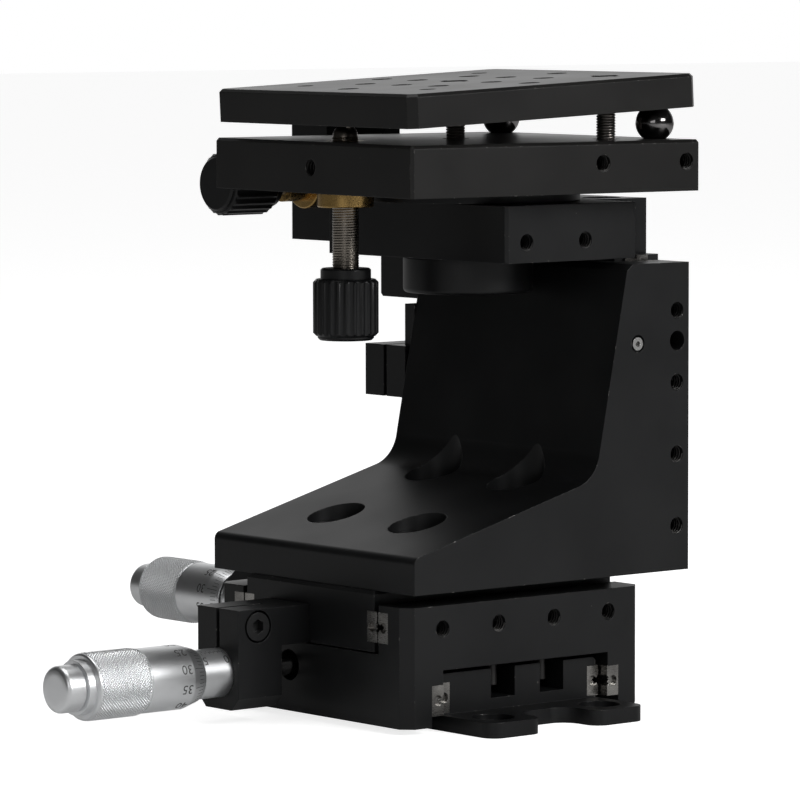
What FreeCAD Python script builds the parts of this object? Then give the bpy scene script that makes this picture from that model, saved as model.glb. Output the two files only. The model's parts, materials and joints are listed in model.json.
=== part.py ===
import FreeCAD, Part
import math
import os

from FreeCAD import Placement, Rotation, Vector

# Multi-axis positioning stage: crossed X and Y slides, a vertical slide in the back of an L bracket,
# a rotary table and a tilting top plate, each driven by its own screw.
# Millimetres. X runs along the upper slide, Y along the lower slide, Z is up from the bench.

# General fits
RUN = 0.15               # running clearance between flat faces that turn or slide
CLEAR = 0.3              # clearance between pieces that pass each other
FIT = 0.05               # radial clearance of a shaft in its bore
TOUCH = 0.1              # gap at a screw tip, closed by the return springs
EDGE = 0.6               # broken edge on machined blocks
CORNER = 2.1             # larger chamfer on the upright corners of the cross block

# Crossed roller rails, the same section in all three slides
CHANNEL_HALF = 20.9      # half width of every channel
SIDE_GAP = 1.3           # from the channel wall to the block that runs in it
RAIL_W = 2.9             # width of one rail
RAIL_H = 5.9             # height of one rail
RAIL_GAP = 0.4           # gap between a pair, where the rollers run
RAIL_V = 1.0             # depth of the running groove
RAIL_POCKET = 2.75       # how deep an outer rail sits in its wall
RAIL_END_R = 1.0         # hole in the end of a rail
RAIL_END_DEPTH = 0.7
ROLLER_PITCH = 8.0
CAGE_T = 0.24            # thickness of the roller cage strip
CAGE_W = 3.2             # its width
CAGE_L = 45.0            # its length

# Base with four ears
BASE_SHIFT = 2.1         # the lower slide is shown this far off its middle
BASE_LENGTH = 58.0
BASE_H = 10.9
EAR_T = 3.0
EAR_REACH = 15.0         # how far an ear stands out of the base
EAR_W = 13.0
EAR_ROUND = 3.0
EAR_RIM = 6.1            # rim of the flange between two ears, from the base
EAR_RECESS_ROUND = 4.0
EAR_HOLE_R = 2.25
EAR_HOLE_IN = 6.1        # hole from the outer side of the ear
EAR_HOLE_OUT = 7.0       # hole from the end of the ear
EAR_SINK_R = 4.1
EAR_SINK_DEPTH = 1.2
SPRING_SLOT_W = 6.0
SPRING_SLOT_X = 6.2      # middle of a spring slot from the middle between the two
SPRING_SLOT_SHIFT = 2.1  # that middle from the middle of the base
SPRING_SLOT_DEPTH = 5.7
SPRING_SLOT_L = 46.0
RETURN_SPRING_R = 1.9    # springs that pull the cross block onto its micrometer
RETURN_SPRING_WALL = 0.5
RETURN_SPRING_DROP = 2.6 # axis of a spring below the top of the base
RETURN_PIN_R = 0.6       # pin across the far end of a slot
RETURN_PIN_IN = 1.2      # from the end of the slot
RETURN_PIN_OVER = 1.6    # beyond each side of the slot
RETURN_POST_R = 1.0      # post under the cross block at the open end of a slot
RETURN_POST_IN = 5.6     # from the face of the cross block
RETURN_POST_L = 6.5
RETURN_POST_SINK = 1.8   # of which in the cross block
RETURN_REACH = 8.6       # how far the post travels towards its spring

# Cross block between the two slides
CROSS_X = 60.0
CROSS_Y = 58.2
CROSS_BOTTOM = 1.2       # running height above the bench
LOWER_GAP = 1.0          # above the base
WEB = 3.0                # between the lower and the upper channel
UPPER_DEPTH = 9.4        # depth of the upper channel
LOWER_RAIL_RISE = 2.1    # rails above the bottom of the block
UPPER_RAIL_DROP = 1.3    # rails below the top of the block
PRELOAD_HOLE_R = 1.65    # tapped holes that press on a rail
PRELOAD_PITCH = 14.0
PRELOAD_DROP = 4.5       # below the top of the block
PRELOAD_L = 2.0          # length of the grub screw at the bottom of a hole
PRELOAD_AF = 1.5

# Upper slide under the bracket
SLIDE_X = 60.0
SLIDE_UNDER = 0.3        # above the channel floor
SLIDE_PROUD = 2.5        # above the cross block

# L bracket, heights from its underside
BRACKET_FRONT = -29.0
BRACKET_BACK = 40.9
BRACKET_W = 61.8
BRACKET_MID_Y = 0.5
BRACKET_H = 60.5
FRONT_T = 6.95           # thickness of the front edge
FRONT_ROUND = 1.5        # rounding of its upper edge
TOE_END_X = 11.9         # where the slope meets the fillet
TOE_END_H = 18.0
FOOT_X = 17.6            # where the fillet meets the wall
FOOT_H = 24.4
WALL_TOP_X = 24.9
WALL_CHAMFER = 1.2
FILLET_BULGE = 1.35      # how far the fillet bows from its chord
SIDE_ROW_IN = 3.1        # row of side holes from the back of the bracket
SIDE_ROW_H = 8.8         # first of them above the underside
SIDE_ROW_PITCH = 14.1
SIDE_ROW_COUNT = 4
LOCK_HOLE_H = 45.2
LOCK_HOLE_R = 1.9
SIDE_SCREW_IN = 13.4     # bright screw in the side, from the back
SIDE_SCREW_H = 45.0
SCREW_PITCH = 25.0       # bracket screws, front pair and back pair
SCREW_MID_X = -0.5
CBORE_R = 5.7
CBORE_FLOOR = 3.2        # material left under a bracket screw's head

# Vertical slide in the back of the bracket
Z_CHANNEL_DEPTH = 9.7
Z_RAIL_DROP = 1.3        # rails below the back of the bracket
Z_RAIL_L = 58.0
CARRIAGE_PROUD = 2.7     # behind the bracket
CARRIAGE_FOOT = 3.7      # above the underside of the bracket
ARM_GAP = 1.0            # above the top of the bracket
ARM_T = 11.0
ARM_FRONT = -3.5
ARM_W = 54.6
NECK_X = 29.6            # where the arm narrows towards the back
NECK_HALF = 15.5
ARM_HOLE_X = 1.6
ARM_HOLE_PITCH = 15.0
ARM_HOLE_H = 3.9
ARM_HOLE_DEPTH = 8.0
NECK_SCREW_HALF = 9.0

# Rotary table on the arm
TABLE_AXIS_X = 10.0
HUB_R = 12.8             # round cap under the arm
HUB_T = 6.9
HUB_EDGE = 0.9
SPINDLE_R = 9.0          # turning spindle through the arm
FLANGE_R = 22.0          # thrust flange between arm and table
FLANGE_T = 2.05
TABLE_YAW = -4.9         # the table is shown turned this far

# Tilt stage: lower plate on the table, top plate above it
LOWER_SIDE = 68.2
LOWER_T = 9.95
PLATE_X = 6.8            # middle of the plates
LOWER_HOLE_R = 1.65
LOWER_HOLE_DEPTH = 7.0
LOWER_HOLE_U = (10.6, 30.7)
LOWER_HOLE_RISE = 0.8    # these two above the middle of the plate's edge
TOP_SIDE = 67.8
TOP_T = 6.5
TOP_PITCH = 2.76         # the top plate is shown tipped this far
TOP_CORNER = 1.6
BALL_D = 7.5
BALL_U = 29.4            # balls from the plate's middle, along the tilt arm
BALL_V = 25.6            # and across it
PLATE_GAP = 6.13         # between the plates at the balls
GRID = 12.5              # tapped holes of the top plate
GRID_R = 2.1
OUTER_HOLE = 25.0
CORNER_HOLE = 21.0
CORNER_HOLE_R = 1.65
TILT_SPRING_R = 1.9
TILT_SPRING_WALL = 0.5
TILT_SPRING_HOLE_R = 2.7
TILT_SPRING_END = 1.6    # spring end short of the upper pin
TILT_PIN_R = 0.6
TILT_PIN_L = 8.4
TILT_PIN_SINK = 2.0      # pin slot below the plate's face

# Adjusting screws with knobs
SCREW_U = -26.0          # tilt screw from the plate's middle
ADJ_SCREW_R = 2.6
KNOB_R = 6.35
KNOB_H = 11.8
KNOB_COLLAR_R = 4.9
KNOB_COLLAR_H = 2.1
KNOB_EDGE = 0.6
KNOB_FLUTES = 24
KNOB_FLUTE_R = 0.8
KNOB_FLUTE_DEPTH = 0.35
KNOB_RING_H = 0.8        # ring on the free end
KNOB_RING_IN = 0.9       # inside the fluted rim
TILT_KNOB_DROP = 14.6    # top of the knob's collar below the lower plate
BUSH_R = 4.0
BUSH_FLANGE_R = 5.5
BUSH_FLANGE_T = 2.8
BUSH_EDGE = 0.4
TURN_Y = 44.0            # line of the table's turning screw
TURN_RISE = 2.6          # above the arm
TURN_COLLAR_X = -4.9     # end of the turning knob's collar
TURN_BLOCK_X = 5.0
TURN_BLOCK_L = 19.0
TURN_BLOCK_Y = 38.0
TURN_BLOCK_W = 12.0
TURN_BLOCK_RISE = 14.6   # above the arm
TURN_FOOT_T = 9.3
TURN_BUSH_X = -2.0       # outer end of the turning screw's bush
TURN_FLANGE_T = 1.5
TAB_T = 4.6              # tab of the table between screw and plunger
TAB_H = 8.4
TAB_REACH = 46.6
TAB_SLOT_X = 9.9
TAB_SLOT_W = 9.6
TAB_SLOT_END = 0.4       # slot beyond the tab
PLUNGER_R = 2.5
PLUNGER_OUT = 1.2        # plunger beyond the block
NOSE_R = 1.5
NOSE_L = 5.6
NOSE_BORE = 5.2

# Micrometer heads, all three alike; lengths from the holder's outer face
SLEEVE_R = 4.75
SLEEVE_L = 20.0
MIC_SPINDLE_R = 2.0
THIMBLE_R = 6.2
THIMBLE_BEVEL = 3.2
THIMBLE_LIP = 0.2
THIMBLE_BORE_GAP = 0.25
THIMBLE_PLAIN = 13.5
THIMBLE_END = 2.0
KNURL_R = 6.5
KNURL_L = 12.2
CAP_R = 4.5
CAP_L = 4.4
CAP_DOME = 1.1
NECK_R = 5.3
NECK_L = 1.6
SHOWN_X = 6.8            # sleeve showing between holder and thimble, at rest
SHOWN_Y = 4.7
SHOWN_Z = 13.0

# Micrometer holders
HOLDER_W = 12.7
HOLDER_FREE = 7.0        # from the bore to the chamfered end
HOLDER_LONG = 12.4       # from the bore to the slit end
HOLDER_L = 10.5          # clamp length along the micrometer
HOLDER_ARM = 6.8         # reach from the clamp to the seat
HOLDER_CHAMFER = 2.4
X_ARM_START = 5.0        # holder's arm from the bore
Y_ARM_START = 6.1
SLIT_W = 1.0
CLAMP_DROP = 3.4         # clamp screw below the slit end
CLAMP_IN = 4.8           # and from the holder's outer face
X_HEAD_Y = 6.5
Y_HEAD_X = -6.4
Z_HEAD_X = 33.0
Z_HEAD_OUT = 7.3         # vertical micrometer beside the bracket
Z_HOLDER_DROP = 29.5     # bottom of its clamp below the top of the bracket
Z_PLATE_T = 3.0
Z_PLATE_X = 22.3
Z_PLATE_W = 18.6
Z_PLATE_H = 19.0
Z_PLATE_SCREW_DROP = 3.6
Z_SCREW_GAP = 0.25       # end of its plate's screws from the rail in the bracket
ANVIL_R = 2.9
ANVIL_T = 1.5
ANVIL_DEPTH = 3.0        # face of an anvil below the block's face
ANVIL_HOLE_R = 3.0

# Stop of the vertical slide, above its micrometer
STOP_X = 24.7
STOP_L = 13.3
STOP_T = 5.7
STOP_SIDE = 6.3          # stop beyond the micrometer's axis
STOP_HANG_W = 12.6
STOP_HANG = 10.5         # hanging part below the arm
STOP_SCREW_X = 27.2

# Cap screws: radius of the thread, radius and height of the head, width of the socket
M6 = (3.0, 5.0, 6.0, 5.0)
M4 = (2.0, 3.5, 4.0, 3.0)
M3 = (1.5, 2.75, 3.0, 2.5)
M2 = (0.8, 1.3, 1.4, 1.0)
HOLE_OVER = 0.25         # clearance hole over its screw
HEAD_OVER = 0.4          # counterbore over its head
SOCKET_SHARE = 0.55      # depth of a socket in its head
ENGAGE = 7.0             # thread in the piece behind
SIDE_SCREW_L = 4.0

HALF_X = CROSS_X / 2
HALF_Y = CROSS_Y / 2
BLOCK_HALF = CHANNEL_HALF - SIDE_GAP
RAIL_OUTER = CHANNEL_HALF + RAIL_POCKET
RAIL_MID = RAIL_OUTER - RAIL_W - RAIL_GAP / 2
RAIL_INNER = RAIL_MID - RAIL_GAP / 2 - RAIL_W
ROLLER_R = (RAIL_GAP + 2 * RAIL_V) / math.sqrt(8) - FIT
BASE_Y0 = BASE_SHIFT - BASE_LENGTH / 2
BASE_Y1 = BASE_SHIFT + BASE_LENGTH / 2
CHANNEL_LOW = BASE_H + LOWER_GAP
CHANNEL_HIGH = CHANNEL_LOW + WEB
CROSS_TOP = CHANNEL_HIGH + UPPER_DEPTH
LOWER_RAIL_Z = CROSS_BOTTOM + LOWER_RAIL_RISE + RAIL_H / 2
UPPER_RAIL_Z = CROSS_TOP - UPPER_RAIL_DROP - RAIL_H / 2
SLIDE_BOTTOM = CHANNEL_HIGH + SLIDE_UNDER
SLIDE_TOP = CROSS_TOP + SLIDE_PROUD
BRACKET_Y0 = BRACKET_MID_Y - BRACKET_W / 2
BRACKET_Y1 = BRACKET_MID_Y + BRACKET_W / 2
BRACKET_TOP = SLIDE_TOP + BRACKET_H
Z_FLOOR_X = BRACKET_BACK - Z_CHANNEL_DEPTH
Z_RAIL_X = BRACKET_BACK - Z_RAIL_DROP - RAIL_H / 2
CARRIAGE_BACK = BRACKET_BACK + CARRIAGE_PROUD
CARRIAGE_Z0 = SLIDE_TOP + CARRIAGE_FOOT
ARM_BOTTOM = BRACKET_TOP + ARM_GAP
ARM_TOP = ARM_BOTTOM + ARM_T
LOWER_BOTTOM = ARM_TOP + RUN + FLANGE_T
LOWER_TOP = LOWER_BOTTOM + LOWER_T
BALL_Z = LOWER_TOP + PLATE_GAP / 2
PITCH = math.radians(TOP_PITCH)
TOP_MID_Z = LOWER_TOP + PLATE_GAP - BALL_U * math.tan(PITCH)
SPRINGS = ((0.0, 0.0), (CORNER_HOLE, -CORNER_HOLE))
TURN_Z = ARM_TOP + TURN_RISE
X_HEAD_Z = SLIDE_BOTTOM - X_ARM_START
Y_HEAD_Z = BASE_H + Y_ARM_START
Z_HEAD_Y = BRACKET_Y1 + Z_HEAD_OUT
Z_HOLDER_Z = BRACKET_TOP - Z_HOLDER_DROP
STOP_BOTTOM = ARM_BOTTOM - STOP_HANG


# Small helpers

def box(x0, x1, y0, y1, z0, z1):
    low = Vector(min(x0, x1), min(y0, y1), min(z0, z1))
    return Part.makeBox(abs(x1 - x0), abs(y1 - y0), abs(z1 - z0), low)


def rod(x, y, z, r, length, axis=(0, 0, 1)):
    return Part.makeCylinder(r, length, Vector(x, y, z), Vector(*axis))


def join(shapes):
    shapes = list(shapes)
    whole = shapes[0]
    if len(shapes) > 1:
        whole = whole.multiFuse(shapes[1:])
    return whole.removeSplitter()


def cut(shape, tools):
    return shape.cut(list(tools)).removeSplitter()


def prism(points, axis, start, end):
    # A closed outline pushed along X, Y or Z. Outline points are the two other coordinates in order.
    spots = {
        "X": [Vector(start, a, b) for a, b in points],
        "Y": [Vector(a, start, b) for a, b in points],
        "Z": [Vector(a, b, start) for a, b in points],
    }[axis]
    push = {"X": Vector(1, 0, 0), "Y": Vector(0, 1, 0), "Z": Vector(0, 0, 1)}[axis]
    face = Part.Face(Part.makePolygon(spots + [spots[0]]))
    return face.extrude(push * (end - start))


def turned(profile):
    # A closed profile of (height, radius) pairs turned about Z.
    points = [Vector(r, 0, h) for h, r in profile]
    face = Part.Face(Part.makePolygon(points + [points[0]]))
    return face.revolve(Vector(0, 0, 0), Vector(0, 0, 1), 360)


def soften(shape, size, chosen):
    # Chamfers the straight edges that a test picks.
    edges = [e for e in shape.Edges if straight(e) and chosen(e)]
    return shape.makeChamfer(size, edges) if edges else shape


def along(edge, axis):
    d = edge.tangentAt(edge.FirstParameter)
    return abs(abs(getattr(d, axis)) - 1) < 1e-6


def mid(edge):
    return edge.BoundBox.Center


def near(a, b):
    return abs(a - b) < 1e-3


def straight(edge):
    return isinstance(edge.Curve, Part.Line)


def aim(shape, place, direction):
    # Turns a piece made along Z to a direction and moves it to a place.
    moved = shape.copy()
    moved.Placement = Placement(Vector(*place), Rotation(Vector(0, 0, 1), Vector(*direction)))
    return moved


def group(shapes):
    return Part.makeCompound(list(shapes))


def export(name, shape):
    shape.exportStep(os.path.join("parts", name + ".step"))


# Fasteners

def hex_socket(width, depth):
    r = width / math.sqrt(3)
    corners = [(r * math.cos(math.radians(60 * i)), r * math.sin(math.radians(60 * i))) for i in range(6)]
    return prism(corners, "Z", -depth, 1)


def cap_screw(kind, length):
    # Head on top of Z = 0, thread below it.
    thread, head, height, width = kind
    body = join([rod(0, 0, 0, head, height), rod(0, 0, -length, thread, length)])
    socket = hex_socket(width, height * SOCKET_SHARE)
    socket.translate(Vector(0, 0, height))
    return body.cut(socket)


def screw_hole(kind, length, depth):
    # The way for a cap screw: counterbore above Z = 0, clearance below it.
    thread, head, height, width = kind
    wide = rod(0, 0, 0, head + HEAD_OVER, depth)
    return join([wide, rod(0, 0, -length, thread + HOLE_OVER, length + 1)])


def grub_screw(r, length):
    # Outer end at Z = 0.
    return rod(0, 0, -length, r, length).cut(hex_socket(PRELOAD_AF, length * SOCKET_SHARE))


# Base

def ear_flange(y_edge, out):
    # Flange under one end of the base: two ears with a rounded recess between them.
    far = y_edge + out * EAR_REACH
    rim = y_edge + out * EAR_RIM
    inner = BLOCK_HALF - EAR_W
    plate = box(-BLOCK_HALF, BLOCK_HALF, y_edge - out, far, 0, EAR_T)
    plate = cut(plate, [box(-inner, inner, rim, far + out, -1, EAR_T + 1)])
    upright = [e for e in plate.Edges if along(e, "z")]
    plate = plate.makeFillet(EAR_ROUND, [e for e in upright if near(mid(e).y, far)])
    recess = [e for e in plate.Edges if straight(e) and along(e, "z") and near(mid(e).y, rim)]
    return plate.makeFillet(EAR_RECESS_ROUND, recess)


def ear_spots():
    for side in (-1, 1):
        for y_edge, out in ((BASE_Y0, -1), (BASE_Y1, 1)):
            yield side, y_edge, out


def rail_pockets_y(z_mid, y0, y1):
    # Pockets for the two inner rails of the lower slide.
    for side in (-1, 1):
        yield box(side * RAIL_INNER, side * (BLOCK_HALF + 1), y0, y1, z_mid - RAIL_H / 2, z_mid + RAIL_H / 2)


def make_base():
    body = box(-BLOCK_HALF, BLOCK_HALF, BASE_Y0, BASE_Y1, 0, BASE_H)
    body = soften(body, EDGE, lambda e: along(e, "y") and mid(e).z > BASE_H / 2)
    body = join([body, ear_flange(BASE_Y0, -1), ear_flange(BASE_Y1, 1)])
    tools = list(rail_pockets_y(LOWER_RAIL_Z, BASE_Y0 - 1, BASE_Y1 + 1))
    over = SPRING_SLOT_W / 2 + RETURN_PIN_OVER + FIT
    wide = RETURN_PIN_R + FIT
    for middle in slot_middles():
        tools.append(box(middle - SPRING_SLOT_W / 2, middle + SPRING_SLOT_W / 2, BASE_Y0 - 1,
                         slot_end(), BASE_H - SPRING_SLOT_DEPTH, BASE_H + 1))
        tools.append(box(middle - over, middle + over, return_pin_y() - wide, return_pin_y() + wide,
                         BASE_H - 2 * wide, BASE_H + 1))
    for side, y_edge, out in ear_spots():
        x = side * (BLOCK_HALF - EAR_HOLE_IN)
        y = y_edge + out * (EAR_REACH - EAR_HOLE_OUT)
        tools.append(rod(x, y, -1, EAR_HOLE_R, EAR_T + 2))
        tools.append(rod(x, y, EAR_T - EAR_SINK_DEPTH, EAR_SINK_R, EAR_SINK_DEPTH + 1))
    return cut(body, tools)


# Return springs in the slots of the base

def slot_middles():
    return [SPRING_SLOT_SHIFT - SPRING_SLOT_X, SPRING_SLOT_SHIFT + SPRING_SLOT_X]


def slot_end():
    return BASE_Y0 + SPRING_SLOT_L


def return_pin_y():
    return slot_end() - RETURN_PIN_IN


def return_post_y():
    return -HALF_Y + RETURN_POST_IN


def make_return_springs():
    # A pin across each slot and the spring that hooks over it, drawn as a tube, short of the travelling post.
    y0 = return_post_y() + RETURN_REACH + RETURN_POST_R + CLEAR
    length = return_pin_y() - RETURN_PIN_R - TOUCH - y0
    z = BASE_H - RETURN_SPRING_DROP
    half = SPRING_SLOT_W / 2 + RETURN_PIN_OVER
    pieces = []
    for x in slot_middles():
        tube = rod(x, y0, z, RETURN_SPRING_R, length, (0, 1, 0))
        pieces.append(tube.cut(rod(x, y0 - 1, z, RETURN_SPRING_R - RETURN_SPRING_WALL, length + 2, (0, 1, 0))))
        pin_z = BASE_H - RETURN_PIN_R - FIT
        pieces.append(rod(x - half, return_pin_y(), pin_z, RETURN_PIN_R, 2 * half, (1, 0, 0)))
    return group(pieces)


def make_return_posts():
    top = CHANNEL_LOW + RETURN_POST_SINK
    return group(rod(x, return_post_y(), top - RETURN_POST_L, RETURN_POST_R, RETURN_POST_L) for x in slot_middles())


# Crossed roller slides

def rail_bar(length, facing):
    # A rail along Z, centred, with its running groove on +X (facing 1) or -X (facing -1).
    w = RAIL_W / 2 * facing
    h = RAIL_H / 2
    outline = [(-w, -h), (w, -h), (w, -RAIL_V), (w - RAIL_V * facing, 0), (w, RAIL_V), (w, h), (-w, h)]
    bar = prism(outline, "Z", -length / 2, length / 2)
    holes = [rod(0, 0, length / 2 - RAIL_END_DEPTH, RAIL_END_R, 1),
             rod(0, 0, -length / 2 + RAIL_END_DEPTH - 1, RAIL_END_R, 1)]
    return cut(bar, holes)


def cage_bar():
    # A strip with its crossed rollers, along Z, thin along X.
    strip = box(-CAGE_T / 2, CAGE_T / 2, -CAGE_W / 2, CAGE_W / 2, -CAGE_L / 2, CAGE_L / 2)
    count = int(CAGE_L // ROLLER_PITCH)
    rollers = []
    for i in range(count):
        z = (i - (count - 1) / 2) * ROLLER_PITCH
        lean = 1 if i % 2 else -1
        d = Vector(1, lean, 0).normalize()
        rollers.append(Part.makeCylinder(ROLLER_R, 2 * ROLLER_R, Vector(0, 0, z) - d * ROLLER_R, d))
    return join([strip] + rollers)


def along_y(bar, x, y, z):
    # Lays a bar made along Z down along Y, its X kept.
    moved = bar.copy()
    moved.Placement = Placement(Vector(x, y, z), Rotation(Vector(1, 0, 0), -90))
    return moved


def along_x(bar, x, y, z):
    # Lays a bar made along Z down along X, its X turned to Y.
    turn = Rotation(Vector(0, 1, 0), Vector(0, 0, 1), Vector(1, 0, 0), "ZXY")
    moved = bar.copy()
    moved.Placement = Placement(Vector(x, y, z), turn)
    return moved


def along_z(bar, x, y, z):
    # Stands a bar made along Z with its X turned to Y.
    moved = bar.copy()
    moved.Placement = Placement(Vector(x, y, z), Rotation(Vector(0, 0, 1), 90))
    return moved


def rail_pair(lay, length, inner, centre, across):
    # Two rails of one slide: lay puts a bar down, across says which way the pair stands apart.
    offset = RAIL_MID - RAIL_GAP / 2 - RAIL_W / 2 if inner else RAIL_OUTER - RAIL_W / 2
    rails = []
    for side in (-1, 1):
        facing = side if inner else -side
        place = Vector(*centre) + Vector(*across) * (side * offset)
        rails.append(lay(rail_bar(length, facing), place.x, place.y, place.z))
    return group(rails)


def cage_pair(lay, centre, across):
    cages = []
    for side in (-1, 1):
        place = Vector(*centre) + Vector(*across) * (side * RAIL_MID)
        cages.append(lay(cage_bar(), place.x, place.y, place.z))
    return group(cages)


# Cross block

def preload_spots():
    for i in range(4):
        yield (i - 1.5) * PRELOAD_PITCH, CROSS_TOP - PRELOAD_DROP


def make_cross_block():
    body = box(-HALF_X, HALF_X, -HALF_Y, HALF_Y, CROSS_BOTTOM, CROSS_TOP)
    body = soften(body, CORNER, lambda e: along(e, "z"))
    low = LOWER_RAIL_Z + RAIL_H / 2
    z0 = UPPER_RAIL_Z - RAIL_H / 2
    z1 = UPPER_RAIL_Z + RAIL_H / 2
    far_x = HALF_X + 1
    far_y = HALF_Y + 1
    tools = [
        box(-CHANNEL_HALF, CHANNEL_HALF, -far_y, far_y, CROSS_BOTTOM - 1, CHANNEL_LOW),
        box(-RAIL_OUTER, RAIL_OUTER, -far_y, far_y, CROSS_BOTTOM - 1, low),
        box(-far_x, far_x, -CHANNEL_HALF, CHANNEL_HALF, CHANNEL_HIGH, CROSS_TOP + 1),
        box(-far_x, far_x, -RAIL_OUTER, RAIL_OUTER, z0, z1),
        rod(-HALF_X - 1, X_HEAD_Y, X_HEAD_Z, ANVIL_HOLE_R, ANVIL_DEPTH + ANVIL_T + 1, (1, 0, 0)),
        rod(Y_HEAD_X, HALF_Y + 1, Y_HEAD_Z, ANVIL_HOLE_R, ANVIL_DEPTH + ANVIL_T + 1, (0, -1, 0)),
    ]
    for x, z in preload_spots():
        tools.append(rod(x, -HALF_Y - 1, z, PRELOAD_HOLE_R, HALF_Y - RAIL_OUTER + 2, (0, 1, 0)))
    for x in slot_middles():
        tools.append(rod(x, return_post_y(), CHANNEL_LOW - 1, RETURN_POST_R + FIT, RETURN_POST_SINK + 1))
    return cut(body, tools)


def make_cross_preload():
    screw = grub_screw(PRELOAD_HOLE_R - FIT, PRELOAD_L)
    return group(aim(screw, (x, -RAIL_OUTER - PRELOAD_L, z), (0, -1, 0)) for x, z in preload_spots())


def make_x_anvil():
    return rod(-HALF_X + ANVIL_DEPTH, X_HEAD_Y, X_HEAD_Z, ANVIL_R, ANVIL_T, (1, 0, 0))


def make_y_anvil():
    return rod(Y_HEAD_X, HALF_Y - ANVIL_DEPTH, Y_HEAD_Z, ANVIL_R, ANVIL_T, (0, -1, 0))


# Upper slide and L bracket

def bracket_screw_spots():
    for dx in (-1, 1):
        for dy in (-1, 1):
            yield SCREW_MID_X + dx * SCREW_PITCH / 2, BRACKET_MID_Y + dy * SCREW_PITCH / 2


def make_upper_slide():
    half = SLIDE_X / 2
    body = box(-half, half, -BLOCK_HALF, BLOCK_HALF, SLIDE_BOTTOM, SLIDE_TOP)
    body = soften(body, EDGE, lambda e: near(mid(e).z, SLIDE_TOP))
    z0 = UPPER_RAIL_Z - RAIL_H / 2
    tools = []
    for side in (-1, 1):
        tools.append(box(-half - 1, half + 1, side * RAIL_INNER, side * (BLOCK_HALF + 1), z0, z0 + RAIL_H))
    for x, y in bracket_screw_spots():
        tools.append(rod(x, y, SLIDE_TOP - ENGAGE - 1, M6[0] + FIT, ENGAGE + 2))
    return cut(body, tools)


def bracket_profile():
    # Side view of the bracket with its sloped toe, fillet and leaning wall.
    def spot(x, h):
        return Vector(x, BRACKET_Y0, SLIDE_TOP + h)
    toe = spot(TOE_END_X, TOE_END_H)
    foot = spot(FOOT_X, FOOT_H)
    chord = foot - toe
    bow = Vector(chord.z, 0, -chord.x).normalize() * FILLET_BULGE
    arc = Part.Arc(toe, (toe + foot) * 0.5 + bow, foot)
    lean = (WALL_TOP_X - FOOT_X) / (BRACKET_H - FOOT_H)
    below = spot(WALL_TOP_X - lean * WALL_CHAMFER, BRACKET_H - WALL_CHAMFER)
    edges = [
        Part.LineSegment(spot(BRACKET_FRONT, 0), spot(BRACKET_FRONT, FRONT_T)),
        Part.LineSegment(spot(BRACKET_FRONT, FRONT_T), toe),
        arc,
        Part.LineSegment(foot, below),
        Part.LineSegment(below, spot(WALL_TOP_X + WALL_CHAMFER, BRACKET_H)),
        Part.LineSegment(spot(WALL_TOP_X + WALL_CHAMFER, BRACKET_H), spot(BRACKET_BACK, BRACKET_H)),
        Part.LineSegment(spot(BRACKET_BACK, BRACKET_H), spot(BRACKET_BACK, 0)),
        Part.LineSegment(spot(BRACKET_BACK, 0), spot(BRACKET_FRONT, 0)),
    ]
    return Part.Face(Part.Wire([e.toShape() for e in edges]))


def side_row():
    # Heights of the tapped holes that press on the vertical rail.
    return [SLIDE_TOP + SIDE_ROW_H + i * SIDE_ROW_PITCH for i in range(SIDE_ROW_COUNT)]


def make_bracket():
    body = bracket_profile().extrude(Vector(0, BRACKET_W, 0))
    front = [e for e in body.Edges if straight(e) and along(e, "y") and near(mid(e).z, SLIDE_TOP + FRONT_T)]
    body = body.makeFillet(FRONT_ROUND, front)
    z0 = SLIDE_TOP - 1
    z1 = BRACKET_TOP + 1
    low_x = Z_RAIL_X - RAIL_H / 2
    tools = [
        box(Z_FLOOR_X, BRACKET_BACK + 1, BRACKET_MID_Y - CHANNEL_HALF, BRACKET_MID_Y + CHANNEL_HALF, z0, z1),
        box(low_x, low_x + RAIL_H, BRACKET_MID_Y - RAIL_OUTER, BRACKET_MID_Y + RAIL_OUTER, z0, z1),
    ]
    floor = SLIDE_TOP + CBORE_FLOOR
    for x, y in bracket_screw_spots():
        tools.append(rod(x, y, floor, CBORE_R, BRACKET_H))
        tools.append(rod(x, y, SLIDE_TOP - 1, M6[0] + HOLE_OVER, BRACKET_H))
    side_x = BRACKET_BACK - SIDE_ROW_IN
    reach = BRACKET_MID_Y - RAIL_OUTER - BRACKET_Y0 + 2
    for z in side_row():
        tools.append(rod(side_x, BRACKET_Y0 - 1, z, PRELOAD_HOLE_R, reach, (0, 1, 0)))
    tools.append(rod(side_x, BRACKET_Y0 - 1, SLIDE_TOP + LOCK_HOLE_H, LOCK_HOLE_R, reach, (0, 1, 0)))
    thread, head, height, width = M2
    x = BRACKET_BACK - SIDE_SCREW_IN
    z = SLIDE_TOP + SIDE_SCREW_H
    tools.append(rod(x, BRACKET_Y0 - 1, z, head + HEAD_OVER, height + 1, (0, 1, 0)))
    tools.append(rod(x, BRACKET_Y0 - 1, z, thread + FIT, height + SIDE_SCREW_L + 2, (0, 1, 0)))
    for x, z in z_plate_screws():
        tools.append(rod(x, BRACKET_Y1 + 1, z, M3[0] + FIT, z_screw_engage() + 2, (0, -1, 0)))
    return cut(body, tools)


def make_bracket_screws():
    screw = cap_screw(M6, CBORE_FLOOR + ENGAGE)
    floor = SLIDE_TOP + CBORE_FLOOR
    return group(aim(screw, (x, y, floor), (0, 0, 1)) for x, y in bracket_screw_spots())


def make_side_screw():
    place = (BRACKET_BACK - SIDE_SCREW_IN, BRACKET_Y0 + M2[2], SLIDE_TOP + SIDE_SCREW_H)
    return aim(cap_screw(M2, SIDE_SCREW_L), place, (0, -1, 0))


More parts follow.
